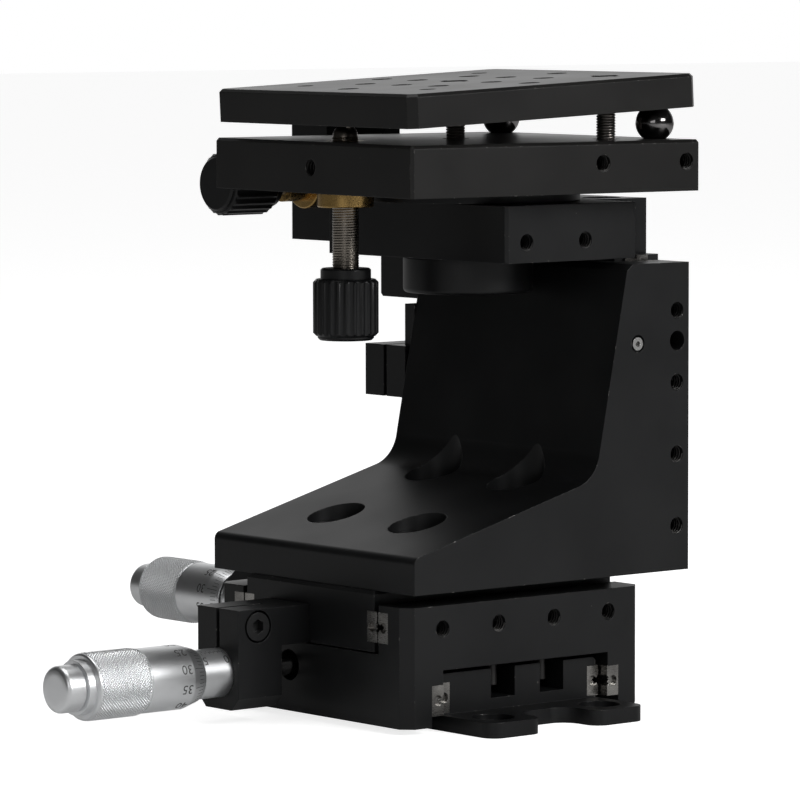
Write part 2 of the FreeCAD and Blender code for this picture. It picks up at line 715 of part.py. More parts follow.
def make_z_preload():
    screw = grub_screw(PRELOAD_HOLE_R - FIT, PRELOAD_L)
    y = BRACKET_MID_Y - RAIL_OUTER - PRELOAD_L
    return group(aim(screw, (BRACKET_BACK - SIDE_ROW_IN, y, z), (0, -1, 0)) for z in side_row())


# Vertical carriage, arm and what is fixed to them

def neck_screw_spots():
    x = (Z_FLOOR_X + CLEAR + CARRIAGE_BACK) / 2
    return [(x, BRACKET_MID_Y - NECK_SCREW_HALF), (x, BRACKET_MID_Y + NECK_SCREW_HALF)]


def make_carriage():
    y0 = BRACKET_MID_Y - BLOCK_HALF
    y1 = BRACKET_MID_Y + BLOCK_HALF
    body = box(Z_FLOOR_X + CLEAR, CARRIAGE_BACK, y0, y1, CARRIAGE_Z0, ARM_BOTTOM)
    body = soften(body, EDGE, lambda e: along(e, "z") and near(mid(e).x, CARRIAGE_BACK))
    low_x = Z_RAIL_X - RAIL_H / 2
    tools = []
    for side in (-1, 1):
        inner = BRACKET_MID_Y + side * RAIL_INNER
        outer = BRACKET_MID_Y + side * (BLOCK_HALF + 1)
        tools.append(box(low_x, low_x + RAIL_H, inner, outer, CARRIAGE_Z0 - 1, ARM_BOTTOM + 1))
    for x, y in neck_screw_spots():
        tools.append(rod(x, y, ARM_BOTTOM - ENGAGE - 1, M4[0] + FIT, ENGAGE + 2))
    return cut(body, tools)


def make_arm():
    plate = box(ARM_FRONT, NECK_X, -ARM_W / 2, ARM_W / 2, ARM_BOTTOM, ARM_TOP)
    neck = box(NECK_X - 1, CARRIAGE_BACK, BRACKET_MID_Y - NECK_HALF, BRACKET_MID_Y + NECK_HALF,
               ARM_BOTTOM, ARM_TOP)
    body = join([plate, neck])
    body = soften(body, EDGE, lambda e: along(e, "z") and near(mid(e).x, ARM_FRONT))
    tools = [rod(TABLE_AXIS_X, 0, ARM_BOTTOM - 1, SPINDLE_R + FIT, ARM_T + 2)]
    for i in range(2):
        x = ARM_HOLE_X + i * ARM_HOLE_PITCH
        tools.append(rod(x, -ARM_W / 2 - 1, ARM_BOTTOM + ARM_HOLE_H, PRELOAD_HOLE_R, ARM_HOLE_DEPTH + 1,
                         (0, 1, 0)))
    way = screw_hole(M4, ARM_T, M4[2] + 1)
    for x, y in neck_screw_spots():
        tools.append(aim(way, (x, y, ARM_TOP - M4[2] - HEAD_OVER), (0, 0, 1)))
    for x in turn_screw_spots():
        tools.append(rod(x, ARM_W / 2 + 1, turn_foot_z(), M4[0] + FIT, ENGAGE + 2, (0, -1, 0)))
    tools.append(rod(STOP_SCREW_X, ARM_W / 2 + 1, stop_screw_z(), M3[0] + FIT, ENGAGE + 2, (0, -1, 0)))
    return cut(body, tools)


def make_arm_screws():
    screw = cap_screw(M4, ARM_T - M4[2] - HEAD_OVER + ENGAGE)
    z = ARM_TOP - M4[2] - HEAD_OVER
    return group(aim(screw, (x, y, z), (0, 0, 1)) for x, y in neck_screw_spots())


def stop_screw_z():
    return ARM_BOTTOM + STOP_T / 2


def stop_end():
    return Z_HEAD_Y + STOP_SIDE


def stop_head_y():
    return ARM_W / 2 + ENGAGE


def make_stop():
    end = stop_end()
    flat = box(STOP_X, STOP_X + STOP_L, ARM_W / 2, end, ARM_BOTTOM, ARM_BOTTOM + STOP_T)
    hang = box(STOP_X, STOP_X + STOP_L, end - STOP_HANG_W, end, STOP_BOTTOM, ARM_BOTTOM + STOP_T)
    body = soften(join([flat, hang]), EDGE, lambda e: along(e, "x") and near(mid(e).y, end))
    way = screw_hole(M3, ENGAGE + 2, end - stop_head_y() + 1)
    return cut(body, [aim(way, (STOP_SCREW_X, stop_head_y(), stop_screw_z()), (0, 1, 0))])


def make_stop_screw():
    screw = cap_screw(M3, 2 * ENGAGE)
    return aim(screw, (STOP_SCREW_X, stop_head_y(), stop_screw_z()), (0, 1, 0))


def turn_screw_spots():
    inset = M4[1] + 2 * HEAD_OVER
    return [TURN_BLOCK_X + inset, TURN_BLOCK_X + TURN_BLOCK_L - inset]


def turn_foot_z():
    return ARM_TOP - TURN_FOOT_T / 2


def make_turn_bracket():
    x0 = TURN_BLOCK_X
    x1 = TURN_BLOCK_X + TURN_BLOCK_L
    y1 = TURN_BLOCK_Y + TURN_BLOCK_W
    z0 = ARM_TOP - TURN_FOOT_T
    foot = box(x0, x1, ARM_W / 2, y1, z0, ARM_TOP)
    upright = box(x0, x1, TURN_BLOCK_Y, y1, z0, ARM_TOP + TURN_BLOCK_RISE)
    body = soften(join([foot, upright]), EDGE, lambda e: along(e, "z") and near(mid(e).y, y1))
    tools = [
        box(TAB_SLOT_X, TAB_SLOT_X + TAB_SLOT_W, TURN_BLOCK_Y - 1, TAB_REACH + TAB_SLOT_END,
            ARM_TOP, ARM_TOP + TURN_BLOCK_RISE + 1),
        rod(x0 - 1, TURN_Y, TURN_Z, BUSH_R, TAB_SLOT_X - x0 + 1.5, (1, 0, 0)),
        rod(TAB_SLOT_X + TAB_SLOT_W - 1, TURN_Y, TURN_Z, PLUNGER_R, TURN_BLOCK_L, (1, 0, 0)),
    ]
    head_y = ARM_W / 2 + ENGAGE
    way = screw_hole(M4, ENGAGE + 2, y1 - head_y + 1)
    for x in turn_screw_spots():
        tools.append(aim(way, (x, head_y, turn_foot_z()), (0, 1, 0)))
    return cut(body, tools)


def make_turn_bracket_screws():
    screw = cap_screw(M4, 2 * ENGAGE)
    return group(aim(screw, (x, ARM_W / 2 + ENGAGE, turn_foot_z()), (0, 1, 0)) for x in turn_screw_spots())


def bush(length, flange, flange_at):
    # A threaded bush from Z = 0 up, with a flange.
    disc = rod(0, 0, flange_at, BUSH_FLANGE_R, flange)
    disc = disc.makeChamfer(BUSH_EDGE, [e for e in disc.Edges if not straight(e)])
    body = join([rod(0, 0, 0, BUSH_R, length), disc])
    return body.cut(rod(0, 0, -1, ADJ_SCREW_R + FIT, length + 2))


def make_turn_bush():
    length = TAB_SLOT_X - TURN_BUSH_X
    flange_at = TURN_BLOCK_X - TURN_FLANGE_T - TURN_BUSH_X
    return aim(bush(length, TURN_FLANGE_T, flange_at), (TURN_BUSH_X, TURN_Y, TURN_Z), (1, 0, 0))


def make_plunger_body():
    start = TAB_SLOT_X + TAB_SLOT_W
    length = TURN_BLOCK_X + TURN_BLOCK_L + PLUNGER_OUT - start
    body = rod(0, 0, 0, PLUNGER_R, length).cut(rod(0, 0, -1, NOSE_R + FIT, NOSE_BORE + 1))
    return aim(body, (start, TURN_Y, TURN_Z), (1, 0, 0))


# Rotary table

def yaw():
    return Rotation(Vector(0, 0, 1), TABLE_YAW)


def on_plate(shape):
    # Puts a piece made about the middle of the plates where the turned table carries it.
    moved = shape.copy()
    moved.Placement = Placement(Vector(PLATE_X, 0, 0), yaw()).multiply(moved.Placement)
    return moved


def tab_face(side):
    # Where the tab's side lies on the turning screw's line.
    lean = math.radians(-TABLE_YAW)
    return TABLE_AXIS_X + TURN_Y * math.tan(lean) + side * TAB_T / 2 / math.cos(lean)


def make_tab():
    z0 = ARM_TOP + CLEAR
    tab = box(-TAB_T / 2, TAB_T / 2, LOWER_SIDE / 2 - 2, TAB_REACH, z0, z0 + TAB_H)
    tab.Placement = Placement(Vector(TABLE_AXIS_X, 0, 0), yaw())
    return tab


def make_lower_plate():
    half = LOWER_SIDE / 2
    plate = box(-half, half, -half, half, LOWER_BOTTOM, LOWER_TOP)
    plate = soften(plate, EDGE, lambda e: along(e, "z") or near(mid(e).z, LOWER_TOP))
    middle = (LOWER_BOTTOM + LOWER_TOP) / 2
    tools = [rod(-half - 1, 0, middle, LOWER_HOLE_R, LOWER_HOLE_DEPTH + 1, (1, 0, 0))]
    for u in LOWER_HOLE_U:
        tools.append(rod(u, -half - 1, middle + LOWER_HOLE_RISE, LOWER_HOLE_R, LOWER_HOLE_DEPTH + 1, (0, 1, 0)))
    for side in (-1, 1):
        tools.append(rod(BALL_U, side * BALL_V, LOWER_TOP - BALL_D / 4, ball_seat_r(1), BALL_D))
    for u, v in SPRINGS:
        tools.append(rod(u, v, LOWER_BOTTOM - 1, TILT_SPRING_HOLE_R, LOWER_T + 2))
        tools.append(pin_slot(u, v, LOWER_BOTTOM - 1, LOWER_BOTTOM + TILT_PIN_SINK))
    tools.append(rod(SCREW_U, 0, LOWER_BOTTOM - 1, BUSH_R, LOWER_T + 2))
    return join([on_plate(cut(plate, tools)), make_tab()])


def ball_seat_r(lean):
    # Radius of the drilled seat whose rim a ball rests on.
    return math.sqrt((BALL_D / 2) ** 2 - (PLATE_GAP / 2 * lean) ** 2) + FIT


def pin_slot(u, v, z0, z1):
    half = TILT_PIN_L / 2 + FIT
    w = TILT_PIN_R + FIT
    return box(u - w, u + w, v - half, v + half, z0, z1)


def spring_pin(u, v, z):
    return rod(u, v - TILT_PIN_L / 2, z, TILT_PIN_R, TILT_PIN_L, (0, 1, 0))


def make_table_spindle():
    flange = rod(TABLE_AXIS_X, 0, ARM_TOP + RUN, FLANGE_R, FLANGE_T)
    shaft = rod(TABLE_AXIS_X, 0, ARM_BOTTOM - RUN, SPINDLE_R, ARM_T + 2 * RUN)
    return join([flange, shaft])


def make_hub_cap():
    top = ARM_BOTTOM - RUN
    low = top - HUB_T
    cap = rod(TABLE_AXIS_X, 0, low, HUB_R, HUB_T)
    rim = [e for e in cap.Edges if near(mid(e).z, low)]
    return cap.makeFillet(HUB_EDGE, rim)


def make_balls():
    balls = []
    for side in (-1, 1):
        balls.append(on_plate(Part.makeSphere(BALL_D / 2, Vector(BALL_U, side * BALL_V, BALL_Z))))
    return group(balls)


def make_tilt_bush():
    body = bush(BUSH_FLANGE_T + LOWER_T, BUSH_FLANGE_T, 0)
    return on_plate(aim(body, (SCREW_U, 0, LOWER_BOTTOM - BUSH_FLANGE_T), (0, 0, 1)))


def make_lower_pins():
    z = LOWER_BOTTOM + TILT_PIN_SINK - TILT_PIN_R
    return group(on_plate(spring_pin(u, v, z)) for u, v in SPRINGS)


def upper_pin_z(u):
    # Height of an upper cross pin, in the tilted plate.
    return TOP_MID_Z + u * math.tan(PITCH) + (TOP_T - TILT_PIN_SINK + TILT_PIN_R) / math.cos(PITCH)


def make_tilt_springs():
    z0 = LOWER_BOTTOM + TILT_PIN_SINK + TOUCH
    springs = []
    for u, v in SPRINGS:
        length = upper_pin_z(u) - TILT_SPRING_END - z0
        tube = rod(u, v, z0, TILT_SPRING_R, length)
        springs.append(on_plate(tube.cut(rod(u, v, z0 - 1, TILT_SPRING_R - TILT_SPRING_WALL, length + 2))))
    return group(springs)


# Tilting top plate

def tipped(shape):
    # Tips a piece made with the plate's underside at Z = 0 and puts it on the balls.
    moved = shape.copy()
    moved.Placement = Placement(Vector(0, 0, TOP_MID_Z), Rotation(Vector(0, 1, 0), -TOP_PITCH))
    return on_plate(moved)


def grid_spots():
    for i in (-1, 0, 1):
        for j in (-1, 0, 1):
            if i or j:
                yield i * GRID, j * GRID
    for d in (-OUTER_HOLE, OUTER_HOLE):
        yield d, 0
        yield 0, d


def top_hole_tools():
    for x, y in grid_spots():
        yield rod(x, y, -1, GRID_R, TOP_T + 2)
    for x in (-CORNER_HOLE, CORNER_HOLE):
        for y in (-CORNER_HOLE, CORNER_HOLE):
            if (x, y) not in SPRINGS:
                yield rod(x, y, -1, CORNER_HOLE_R, TOP_T + 2)
    for u, v in SPRINGS:
        yield rod(u, v, -1, TILT_SPRING_HOLE_R, TOP_T + 2)
        yield pin_slot(u, v, TOP_T - TILT_PIN_SINK, TOP_T + 1)


def make_top_plate():
    half = TOP_SIDE / 2
    plate = box(-half, half, -half, half, 0, TOP_T)
    plate = soften(plate, TOP_CORNER, lambda e: along(e, "z"))
    plate = soften(plate, EDGE, lambda e: near(mid(e).z, TOP_T))
    plate = cut(plate, top_hole_tools())
    lean = Vector(-math.sin(PITCH), 0, math.cos(PITCH))
    seats = []
    for side in (-1, 1):
        ball = Vector(BALL_U, side * BALL_V, BALL_Z)
        seats.append(on_plate(Part.makeCylinder(ball_seat_r(math.cos(PITCH)), BALL_D * 0.7, ball, lean)))
    return cut(tipped(plate), seats)


def make_upper_pins():
    z = TOP_T - TILT_PIN_SINK + TILT_PIN_R
    return group(tipped(spring_pin(u, v, z)) for u, v in SPRINGS)


# Adjusting screws and knobs

def adjusting_screw(length):
    # Thread from Z = 0 up to a domed tip.
    dome = Part.makeSphere(ADJ_SCREW_R, Vector(0, 0, length - ADJ_SCREW_R))
    return join([rod(0, 0, 0, ADJ_SCREW_R, length - ADJ_SCREW_R), dome])


def knob():
    # Fluted knob from Z = 0 up, with its collar on top.
    r = KNOB_R
    e = KNOB_EDGE
    top = KNOB_H + KNOB_COLLAR_H
    ring = r - KNOB_RING_IN
    foot = KNOB_RING_H
    bore = ADJ_SCREW_R + FIT
    body = turned([(0, 0), (0, ring - foot / 2), (foot / 2, ring), (foot, ring), (foot, r - e), (foot + e, r),
                   (KNOB_H - e, r), (KNOB_H, r - e), (KNOB_H, KNOB_COLLAR_R), (top, KNOB_COLLAR_R), (top, 0)])
    tools = [rod(0, 0, knob_floor(), bore, top)]
    out = r - KNOB_FLUTE_DEPTH + KNOB_FLUTE_R
    for i in range(KNOB_FLUTES):
        a = 2 * math.pi * i / KNOB_FLUTES
        tools.append(rod(out * math.cos(a), out * math.sin(a), foot, KNOB_FLUTE_R, KNOB_H))
    return body.cut(tools)


def knob_floor():
    # Solid end of the knob below its bore.
    return KNOB_H / 4


def tilt_knob_bottom():
    return LOWER_BOTTOM - TILT_KNOB_DROP - KNOB_COLLAR_H - KNOB_H


def turn_knob_end():
    return TURN_COLLAR_X - KNOB_COLLAR_H - KNOB_H


def make_tilt_knob():
    return on_plate(aim(knob(), (SCREW_U, 0, tilt_knob_bottom()), (0, 0, 1)))


def make_tilt_screw():
    z0 = tilt_knob_bottom() + knob_floor() + RUN
    tip = TOP_MID_Z + SCREW_U * math.tan(PITCH) - TOUCH
    return on_plate(aim(adjusting_screw(tip - z0), (SCREW_U, 0, z0), (0, 0, 1)))


def make_turn_knob():
    return aim(knob(), (turn_knob_end(), TURN_Y, TURN_Z), (1, 0, 0))


def make_turn_screw():
    x0 = turn_knob_end() + knob_floor() + RUN
    return aim(adjusting_screw(tab_face(-1) - TOUCH - x0), (x0, TURN_Y, TURN_Z), (1, 0, 0))


def make_plunger_nose():
    x0 = tab_face(1) + TOUCH
    nose = join([rod(0, 0, NOSE_R, NOSE_R, NOSE_L - NOSE_R), Part.makeSphere(NOSE_R, Vector(0, 0, NOSE_R))])
    return aim(nose, (x0, TURN_Y, TURN_Z), (1, 0, 0))


# Micrometer heads, made along Z: Z = 0 is the holder's outer face and the thimble stands above it

def head_place(axis):
    # Where a head's own Z and X point: outward along the micrometer, and towards the slit of its holder.
    spots = {
        "x": ((-SLIDE_X / 2 - HOLDER_ARM - HOLDER_L, X_HEAD_Y, X_HEAD_Z), (-1, 0, 0), (0, 0, 1)),
        "y": ((Y_HEAD_X, BASE_Y1 + HOLDER_ARM + HOLDER_L, Y_HEAD_Z), (0, 1, 0), (0, 0, -1)),
        "z": ((Z_HEAD_X, Z_HEAD_Y, Z_HOLDER_Z), (0, 0, -1), (-1, 0, 0)),
    }
    place, outward, slit = [Vector(*v) for v in spots[axis]]
    return Placement(place, Rotation(slit, outward.cross(slit), outward, "ZXY"))


def on_head(shape, axis):
    moved = shape.copy()
    moved.Placement = head_place(axis).multiply(moved.Placement)
    return moved


def tip_reach(axis):
    # From the holder's outer face to the spindle's tip.
    if axis == "x":
        return HOLDER_L + HOLDER_ARM + ANVIL_DEPTH + SLIDE_X / 2 - HALF_X - TOUCH
    if axis == "y":
        return BASE_Y1 + HOLDER_ARM + HOLDER_L - HALF_Y + ANVIL_DEPTH - TOUCH
    return STOP_BOTTOM - Z_HOLDER_Z - TOUCH


def shown(axis):
    return {"x": SHOWN_X, "y": SHOWN_Y, "z": SHOWN_Z}[axis]


def clamp_block(axis):
    free = HOLDER_FREE
    w = HOLDER_W / 2
    c = HOLDER_CHAMFER
    outline = [(-free, -w + c), (-free + c, -w), (HOLDER_LONG, -w), (HOLDER_LONG, w), (-free + c, w),
               (-free, w - c)]
    return prism(outline, "Z", -HOLDER_L, 0)


def clamp_tools():
    x = HOLDER_LONG - CLAMP_DROP
    thread, head, height, width = M3
    w = HOLDER_W / 2
    return [
        rod(0, 0, -HOLDER_L - 1, SLEEVE_R + FIT, HOLDER_L + 2),
        box(0, HOLDER_LONG + 1, -SLIT_W / 2, SLIT_W / 2, -HOLDER_L, 1),
        rod(x, -w - 1, -CLAMP_IN, head + HEAD_OVER, height + 1, (0, 1, 0)),
        rod(x, -w - 1, -CLAMP_IN, thread + HOLE_OVER, w + 1, (0, 1, 0)),
        rod(x, 0, -CLAMP_IN, thread + FIT, w - 1, (0, 1, 0)),
    ]


def make_holder(axis):
    # Split clamp with an arm that seats on the end of its slide.
    start = X_ARM_START if axis == "x" else Y_ARM_START
    w = HOLDER_W / 2
    arm = box(start, HOLDER_LONG, -w, w, -HOLDER_L - HOLDER_ARM, -HOLDER_L)
    return on_head(cut(join([clamp_block(axis), arm]), clamp_tools()), axis)


def z_screw_engage():
    return BRACKET_W / 2 - RAIL_OUTER - Z_SCREW_GAP


def z_plate_screws():
    # One screw each side of the spindle.
    aside = MIC_SPINDLE_R + M3[1] + CLEAR
    z = Z_HOLDER_Z + Z_PLATE_H - Z_PLATE_SCREW_DROP
    return [(Z_HEAD_X - aside, z), (Z_HEAD_X + aside, z)]


def make_z_holder():
    # The vertical micrometer's clamp with a plate that is screwed to the side of the bracket.
    clamp = on_head(clamp_block("z"), "z")
    plate = box(Z_PLATE_X, Z_PLATE_X + Z_PLATE_W, BRACKET_Y1, BRACKET_Y1 + Z_PLATE_T, Z_HOLDER_Z,
                Z_HOLDER_Z + Z_PLATE_H)
    body = cut(join([clamp, plate]), [on_head(tool, "z") for tool in clamp_tools()])
    holes = [rod(x, BRACKET_Y1 - 1, z, M3[0] + HOLE_OVER, Z_PLATE_T + 2, (0, 1, 0)) for x, z in z_plate_screws()]
    return cut(body, holes)


def make_z_holder_screws():
    screw = cap_screw(M3, Z_PLATE_T + z_screw_engage())
    return group(aim(screw, (x, BRACKET_Y1 + Z_PLATE_T, z), (0, 1, 0)) for x, z in z_plate_screws())


def make_clamp_screw(axis):
    w = HOLDER_W / 2
    screw = cap_screw(M3, w + 2)
    place = (HOLDER_LONG - CLAMP_DROP, -w + M3[2], -CLAMP_IN)
    return on_head(aim(screw, place, (0, -1, 0)), axis)


def make_sleeve(axis):
    # Scaled sleeve: its stem sits in the clamp and its outer end runs inside the thimble.
    tube = rod(0, 0, -HOLDER_L, SLEEVE_R, HOLDER_L + SLEEVE_L)
    return on_head(tube.cut(rod(0, 0, -HOLDER_L - 1, MIC_SPINDLE_R + FIT, HOLDER_L + SLEEVE_L + 2)), axis)


def thimble_length():
    return THIMBLE_PLAIN + KNURL_L


def make_mic_spindle(axis):
    reach = tip_reach(axis)
    return on_head(rod(0, 0, -reach, MIC_SPINDLE_R, reach + shown(axis) + thimble_length()), axis)


def make_thimble(axis):
    # Thimble with its scale bevel and gripping ring, and the friction cap behind it.
    bore = SLEEVE_R + THIMBLE_BORE_GAP
    end = thimble_length()
    floor = end - THIMBLE_END
    spindle = MIC_SPINDLE_R + FIT
    shell = turned([(0, bore), (0, bore + THIMBLE_LIP), (THIMBLE_BEVEL, THIMBLE_R), (THIMBLE_PLAIN, THIMBLE_R),
                    (THIMBLE_PLAIN, KNURL_R), (end, KNURL_R), (end, spindle), (floor, spindle), (floor, bore)])
    far = end + NECK_L + CAP_L
    cap = turned([(end, 0), (end, NECK_R), (end + NECK_L, NECK_R), (end + NECK_L, CAP_R), (far - CAP_DOME, CAP_R),
                  (far - CAP_DOME / 4, CAP_R - CAP_DOME), (far, CAP_R / 3), (far, 0)])
    both = group([shell, cap])
    both.translate(Vector(0, 0, shown(axis)))
    return on_head(both, axis)


# Every piece by name

def lower_slide_pieces():
    middle = (0, BASE_SHIFT, LOWER_RAIL_Z)
    across = (1, 0, 0)
    return {
        "base_block": make_base(),
        "base_rails": rail_pair(along_y, BASE_LENGTH, True, middle, across),
        "return_springs": make_return_springs(),
        "y_roller_cages": cage_pair(along_y, (0, BASE_SHIFT / 2, LOWER_RAIL_Z), across),
        "cross_block": make_cross_block(),
        "cross_lower_rails": rail_pair(along_y, CROSS_Y, False, (0, 0, LOWER_RAIL_Z), across),
        "return_posts": make_return_posts(),
        "cross_preload_screws": make_cross_preload(),
        "x_anvil": make_x_anvil(),
        "y_anvil": make_y_anvil(),
    }


def upper_slide_pieces():
    middle = (0, 0, UPPER_RAIL_Z)
    across = (0, 1, 0)
    return {
        "cross_upper_rails": rail_pair(along_x, CROSS_X, False, middle, across),
        "x_roller_cages": cage_pair(along_x, middle, across),
        "upper_slide": make_upper_slide(),
        "upper_slide_rails": rail_pair(along_x, SLIDE_X, True, middle, across),
        "l_bracket": make_bracket(),
        "bracket_screws": make_bracket_screws(),
        "bracket_side_screw": make_side_screw(),
    }


def vertical_slide_pieces():
    across = (0, 1, 0)
    fixed = (Z_RAIL_X, BRACKET_MID_Y, BRACKET_TOP - Z_RAIL_L / 2)
    sliding = (Z_RAIL_X, BRACKET_MID_Y, (CARRIAGE_Z0 + ARM_BOTTOM) / 2)
    return {
        "bracket_rails": rail_pair(along_z, Z_RAIL_L, False, fixed, across),
        "z_preload_screws": make_z_preload(),
        "z_roller_cages": cage_pair(along_z, fixed, across),
        "z_carriage": make_carriage(),
        "z_carriage_rails": rail_pair(along_z, ARM_BOTTOM - CARRIAGE_Z0, True, sliding, across),
        "arm": make_arm(),
        "arm_screws": make_arm_screws(),
        "z_stop": make_stop(),
        "z_stop_screw": make_stop_screw(),
    }


def table_pieces():
    return {
        "turn_bracket": make_turn_bracket(),
        "turn_bracket_screws": make_turn_bracket_screws(),
        "turn_bush": make_turn_bush(),
        "plunger_body": make_plunger_body(),
        "plunger_nose": make_plunger_nose(),
        "turn_screw": make_turn_screw(),
        "turn_knob": make_turn_knob(),
        "table_spindle": make_table_spindle(),
        "hub_cap": make_hub_cap(),
        "lower_plate": make_lower_plate(),
        "tilt_bush": make_tilt_bush(),
        "tilt_balls": make_balls(),
        "lower_spring_pins": make_lower_pins(),
        "tilt_springs": make_tilt_springs(),
        "tilt_screw": make_tilt_screw(),
        "tilt_knob": make_tilt_knob(),
        "top_plate": make_top_plate(),
        "upper_spring_pins": make_upper_pins(),
    }


def head_pieces():
    pieces = {"x_holder": make_holder("x"), "y_holder": make_holder("y"), "z_holder": make_z_holder(),
              "z_holder_screws": make_z_holder_screws()}
    for axis in "xyz":
        pieces[axis + "_clamp_screw"] = make_clamp_screw(axis)
        pieces[axis + "_sleeve"] = make_sleeve(axis)
        pieces[axis + "_spindle"] = make_mic_spindle(axis)
        pieces[axis + "_thimble"] = make_thimble(axis)
    return pieces


os.makedirs("parts", exist_ok=True)
for make in (lower_slide_pieces, upper_slide_pieces, vertical_slide_pieces, table_pieces, head_pieces):
    for name, shape in make().items():
        export(name, shape)
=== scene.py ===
"""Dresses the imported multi-axis positioning stage: finishes, knurls, scales, springs and studio light."""
from __future__ import annotations

import json
import logging
import math
from dataclasses import dataclass
from enum import Enum
from typing import Callable

import bmesh
import bpy
from mathutils import Matrix, Vector


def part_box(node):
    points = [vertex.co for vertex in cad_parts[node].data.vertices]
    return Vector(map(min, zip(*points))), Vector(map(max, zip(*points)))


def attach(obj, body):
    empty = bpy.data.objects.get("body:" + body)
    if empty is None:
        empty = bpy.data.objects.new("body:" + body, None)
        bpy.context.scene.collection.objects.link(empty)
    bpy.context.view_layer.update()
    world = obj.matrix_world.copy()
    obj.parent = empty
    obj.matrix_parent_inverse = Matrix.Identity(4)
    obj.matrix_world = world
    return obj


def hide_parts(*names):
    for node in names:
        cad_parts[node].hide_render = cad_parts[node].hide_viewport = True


MM = 0.001
PROUD = 0.012 * MM  # height of a drawn mark over its drum
log = logging.getLogger("stage")
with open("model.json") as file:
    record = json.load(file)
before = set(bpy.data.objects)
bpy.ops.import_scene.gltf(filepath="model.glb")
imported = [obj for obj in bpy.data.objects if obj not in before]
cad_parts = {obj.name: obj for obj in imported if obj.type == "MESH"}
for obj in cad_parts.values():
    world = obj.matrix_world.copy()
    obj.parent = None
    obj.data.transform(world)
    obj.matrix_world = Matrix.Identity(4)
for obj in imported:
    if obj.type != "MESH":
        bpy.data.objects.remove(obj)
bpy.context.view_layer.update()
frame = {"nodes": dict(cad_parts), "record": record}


class Slot(Enum):
    """The record's material slots."""

    BLACK = "black_anodised"
    RAIL = "rail_steel"
    STEEL = "bright_steel"
    CHROME = "satin_chrome"
    BRASS = "brass"
    OXIDE = "black_screws"


class Shader:
    """A thin wrapper that builds one node material."""

    def __init__(self, name: str) -> None:
        """Starts an empty node tree with its Principled shader.

        Args:
            name: the material's name.
        """
        self.material = bpy.data.materials.new(name)
        self.material.use_nodes = True
        self.tree = self.material.node_tree
        self.tree.nodes.clear()
        out = self.tree.nodes.new("ShaderNodeOutputMaterial")
        self.bsdf = self.node("ShaderNodeBsdfPrincipled")
        self.tree.links.new(self.bsdf.outputs[0], out.inputs["Surface"])
        self.coords = self.node("ShaderNodeTexCoord").outputs["Object"]

    def node(self, kind: str, **inputs: object) -> bpy.types.Node:
        """Adds a node.

        Args:
            kind: Blender's node type.
            inputs: sockets by name with underscores for spaces, each a value or an output to link.

        Returns:
            The new node.
        """
        made = self.tree.nodes.new(kind)
        for key, value in inputs.items():
            self.put(made.inputs[key.replace("_", " ")], value)
        return made

    def put(self, socket: bpy.types.NodeSocket, value: object) -> None:
        """Links an output to a socket, or sets its value.

        Args:
            socket: the input.
            value: a value, or an output to link.
        """
        if isinstance(value, bpy.types.NodeSocket):
            self.tree.links.new(value, socket)
        else:
            socket.default_value = value

    def math(self, operation: str, a: object, b: object = 0.0) -> bpy.types.NodeSocket:
        """A Math node's result.

        Args:
            operation: Blender's name of it.
            a: the first value or output.
            b: the second value or output.

        Returns:
            The result.
        """
        made = self.tree.nodes.new("ShaderNodeMath")
        made.operation = operation
        self.put(made.inputs[0], a)
        self.put(made.inputs[1], b)
        return made.outputs[0]

    def ramp(self, value: bpy.types.NodeSocket, low: float, high: float) -> bpy.types.NodeSocket:
        """A clamped 0 to 1 ramp between two values."""
        made = self.node("ShaderNodeMapRange", Value=value, From_Min=low, From_Max=high)
        return made.outputs["Result"]

    def mix(self, share: object, a: object, b: object) -> bpy.types.NodeSocket:
        """A colour mix.

        Args:
            share: how much of the second colour, 0 to 1.
            a: the first colour.
            b: the second colour.

        Returns:
            The mixed colour.
        """
        made = self.tree.nodes.new("ShaderNodeMix")
        made.data_type = "RGBA"
        self.put(made.inputs["Factor"], share)
        self.put(made.inputs[6], a)
        self.put(made.inputs[7], b)
        return made.outputs[2]

    def noise(self, scale: float, detail: float = 2.0, stretch: tuple[float, float, float] | None = None
              ) -> bpy.types.NodeSocket:
        """Noise in the object's own space.

        Args:
            scale: how fine.
            detail: octaves.
            stretch: how much finer along each axis.

        Returns:
            The noise, 0 to 1.
        """
        place = self.coords
        if stretch:
            place = self.node("ShaderNodeMapping", Vector=place, Scale=stretch).outputs[0]
        return self.node("ShaderNodeTexNoise", Vector=place, Scale=scale, Detail=detail).outputs["Fac"]

    def round_edges(self, radius: float) -> bpy.types.NodeSocket:
        """A normal that rounds sharp edges over a radius in metres."""
        made = self.node("ShaderNodeBevel", Radius=radius)
        made.samples = 6
        return made.outputs[0]

    def edge_mask(self, radius: float) -> bpy.types.NodeSocket:
        """A mask of the edges.

        Args:
            radius: how far it reaches, in metres.

        Returns:
            0 on flat ground, towards 1 along edges.
        """
        soft = self.round_edges(radius)
        hard = self.node("ShaderNodeNewGeometry").outputs["Normal"]
        made = self.tree.nodes.new("ShaderNodeVectorMath")
        made.operation = "DOT_PRODUCT"
        self.put(made.inputs[0], soft)
        self.put(made.inputs[1], hard)
        return self.ramp(made.outputs["Value"], 0.995, 0.9)

    def bump(self, height: bpy.types.NodeSocket, distance: float, strength: float,
             normal: bpy.types.NodeSocket) -> bpy.types.NodeSocket:
        """A bump normal over a base normal.

        Args:
            height: what it follows.
            distance: in metres.
            strength: 0 to 1.
            normal: the base normal.

        Returns:
            The normal.
        """
        made = self.node("ShaderNodeBump", Height=height, Distance=distance, Strength=strength)
        self.put(made.inputs["Normal"], normal)
        return made.outputs[0]


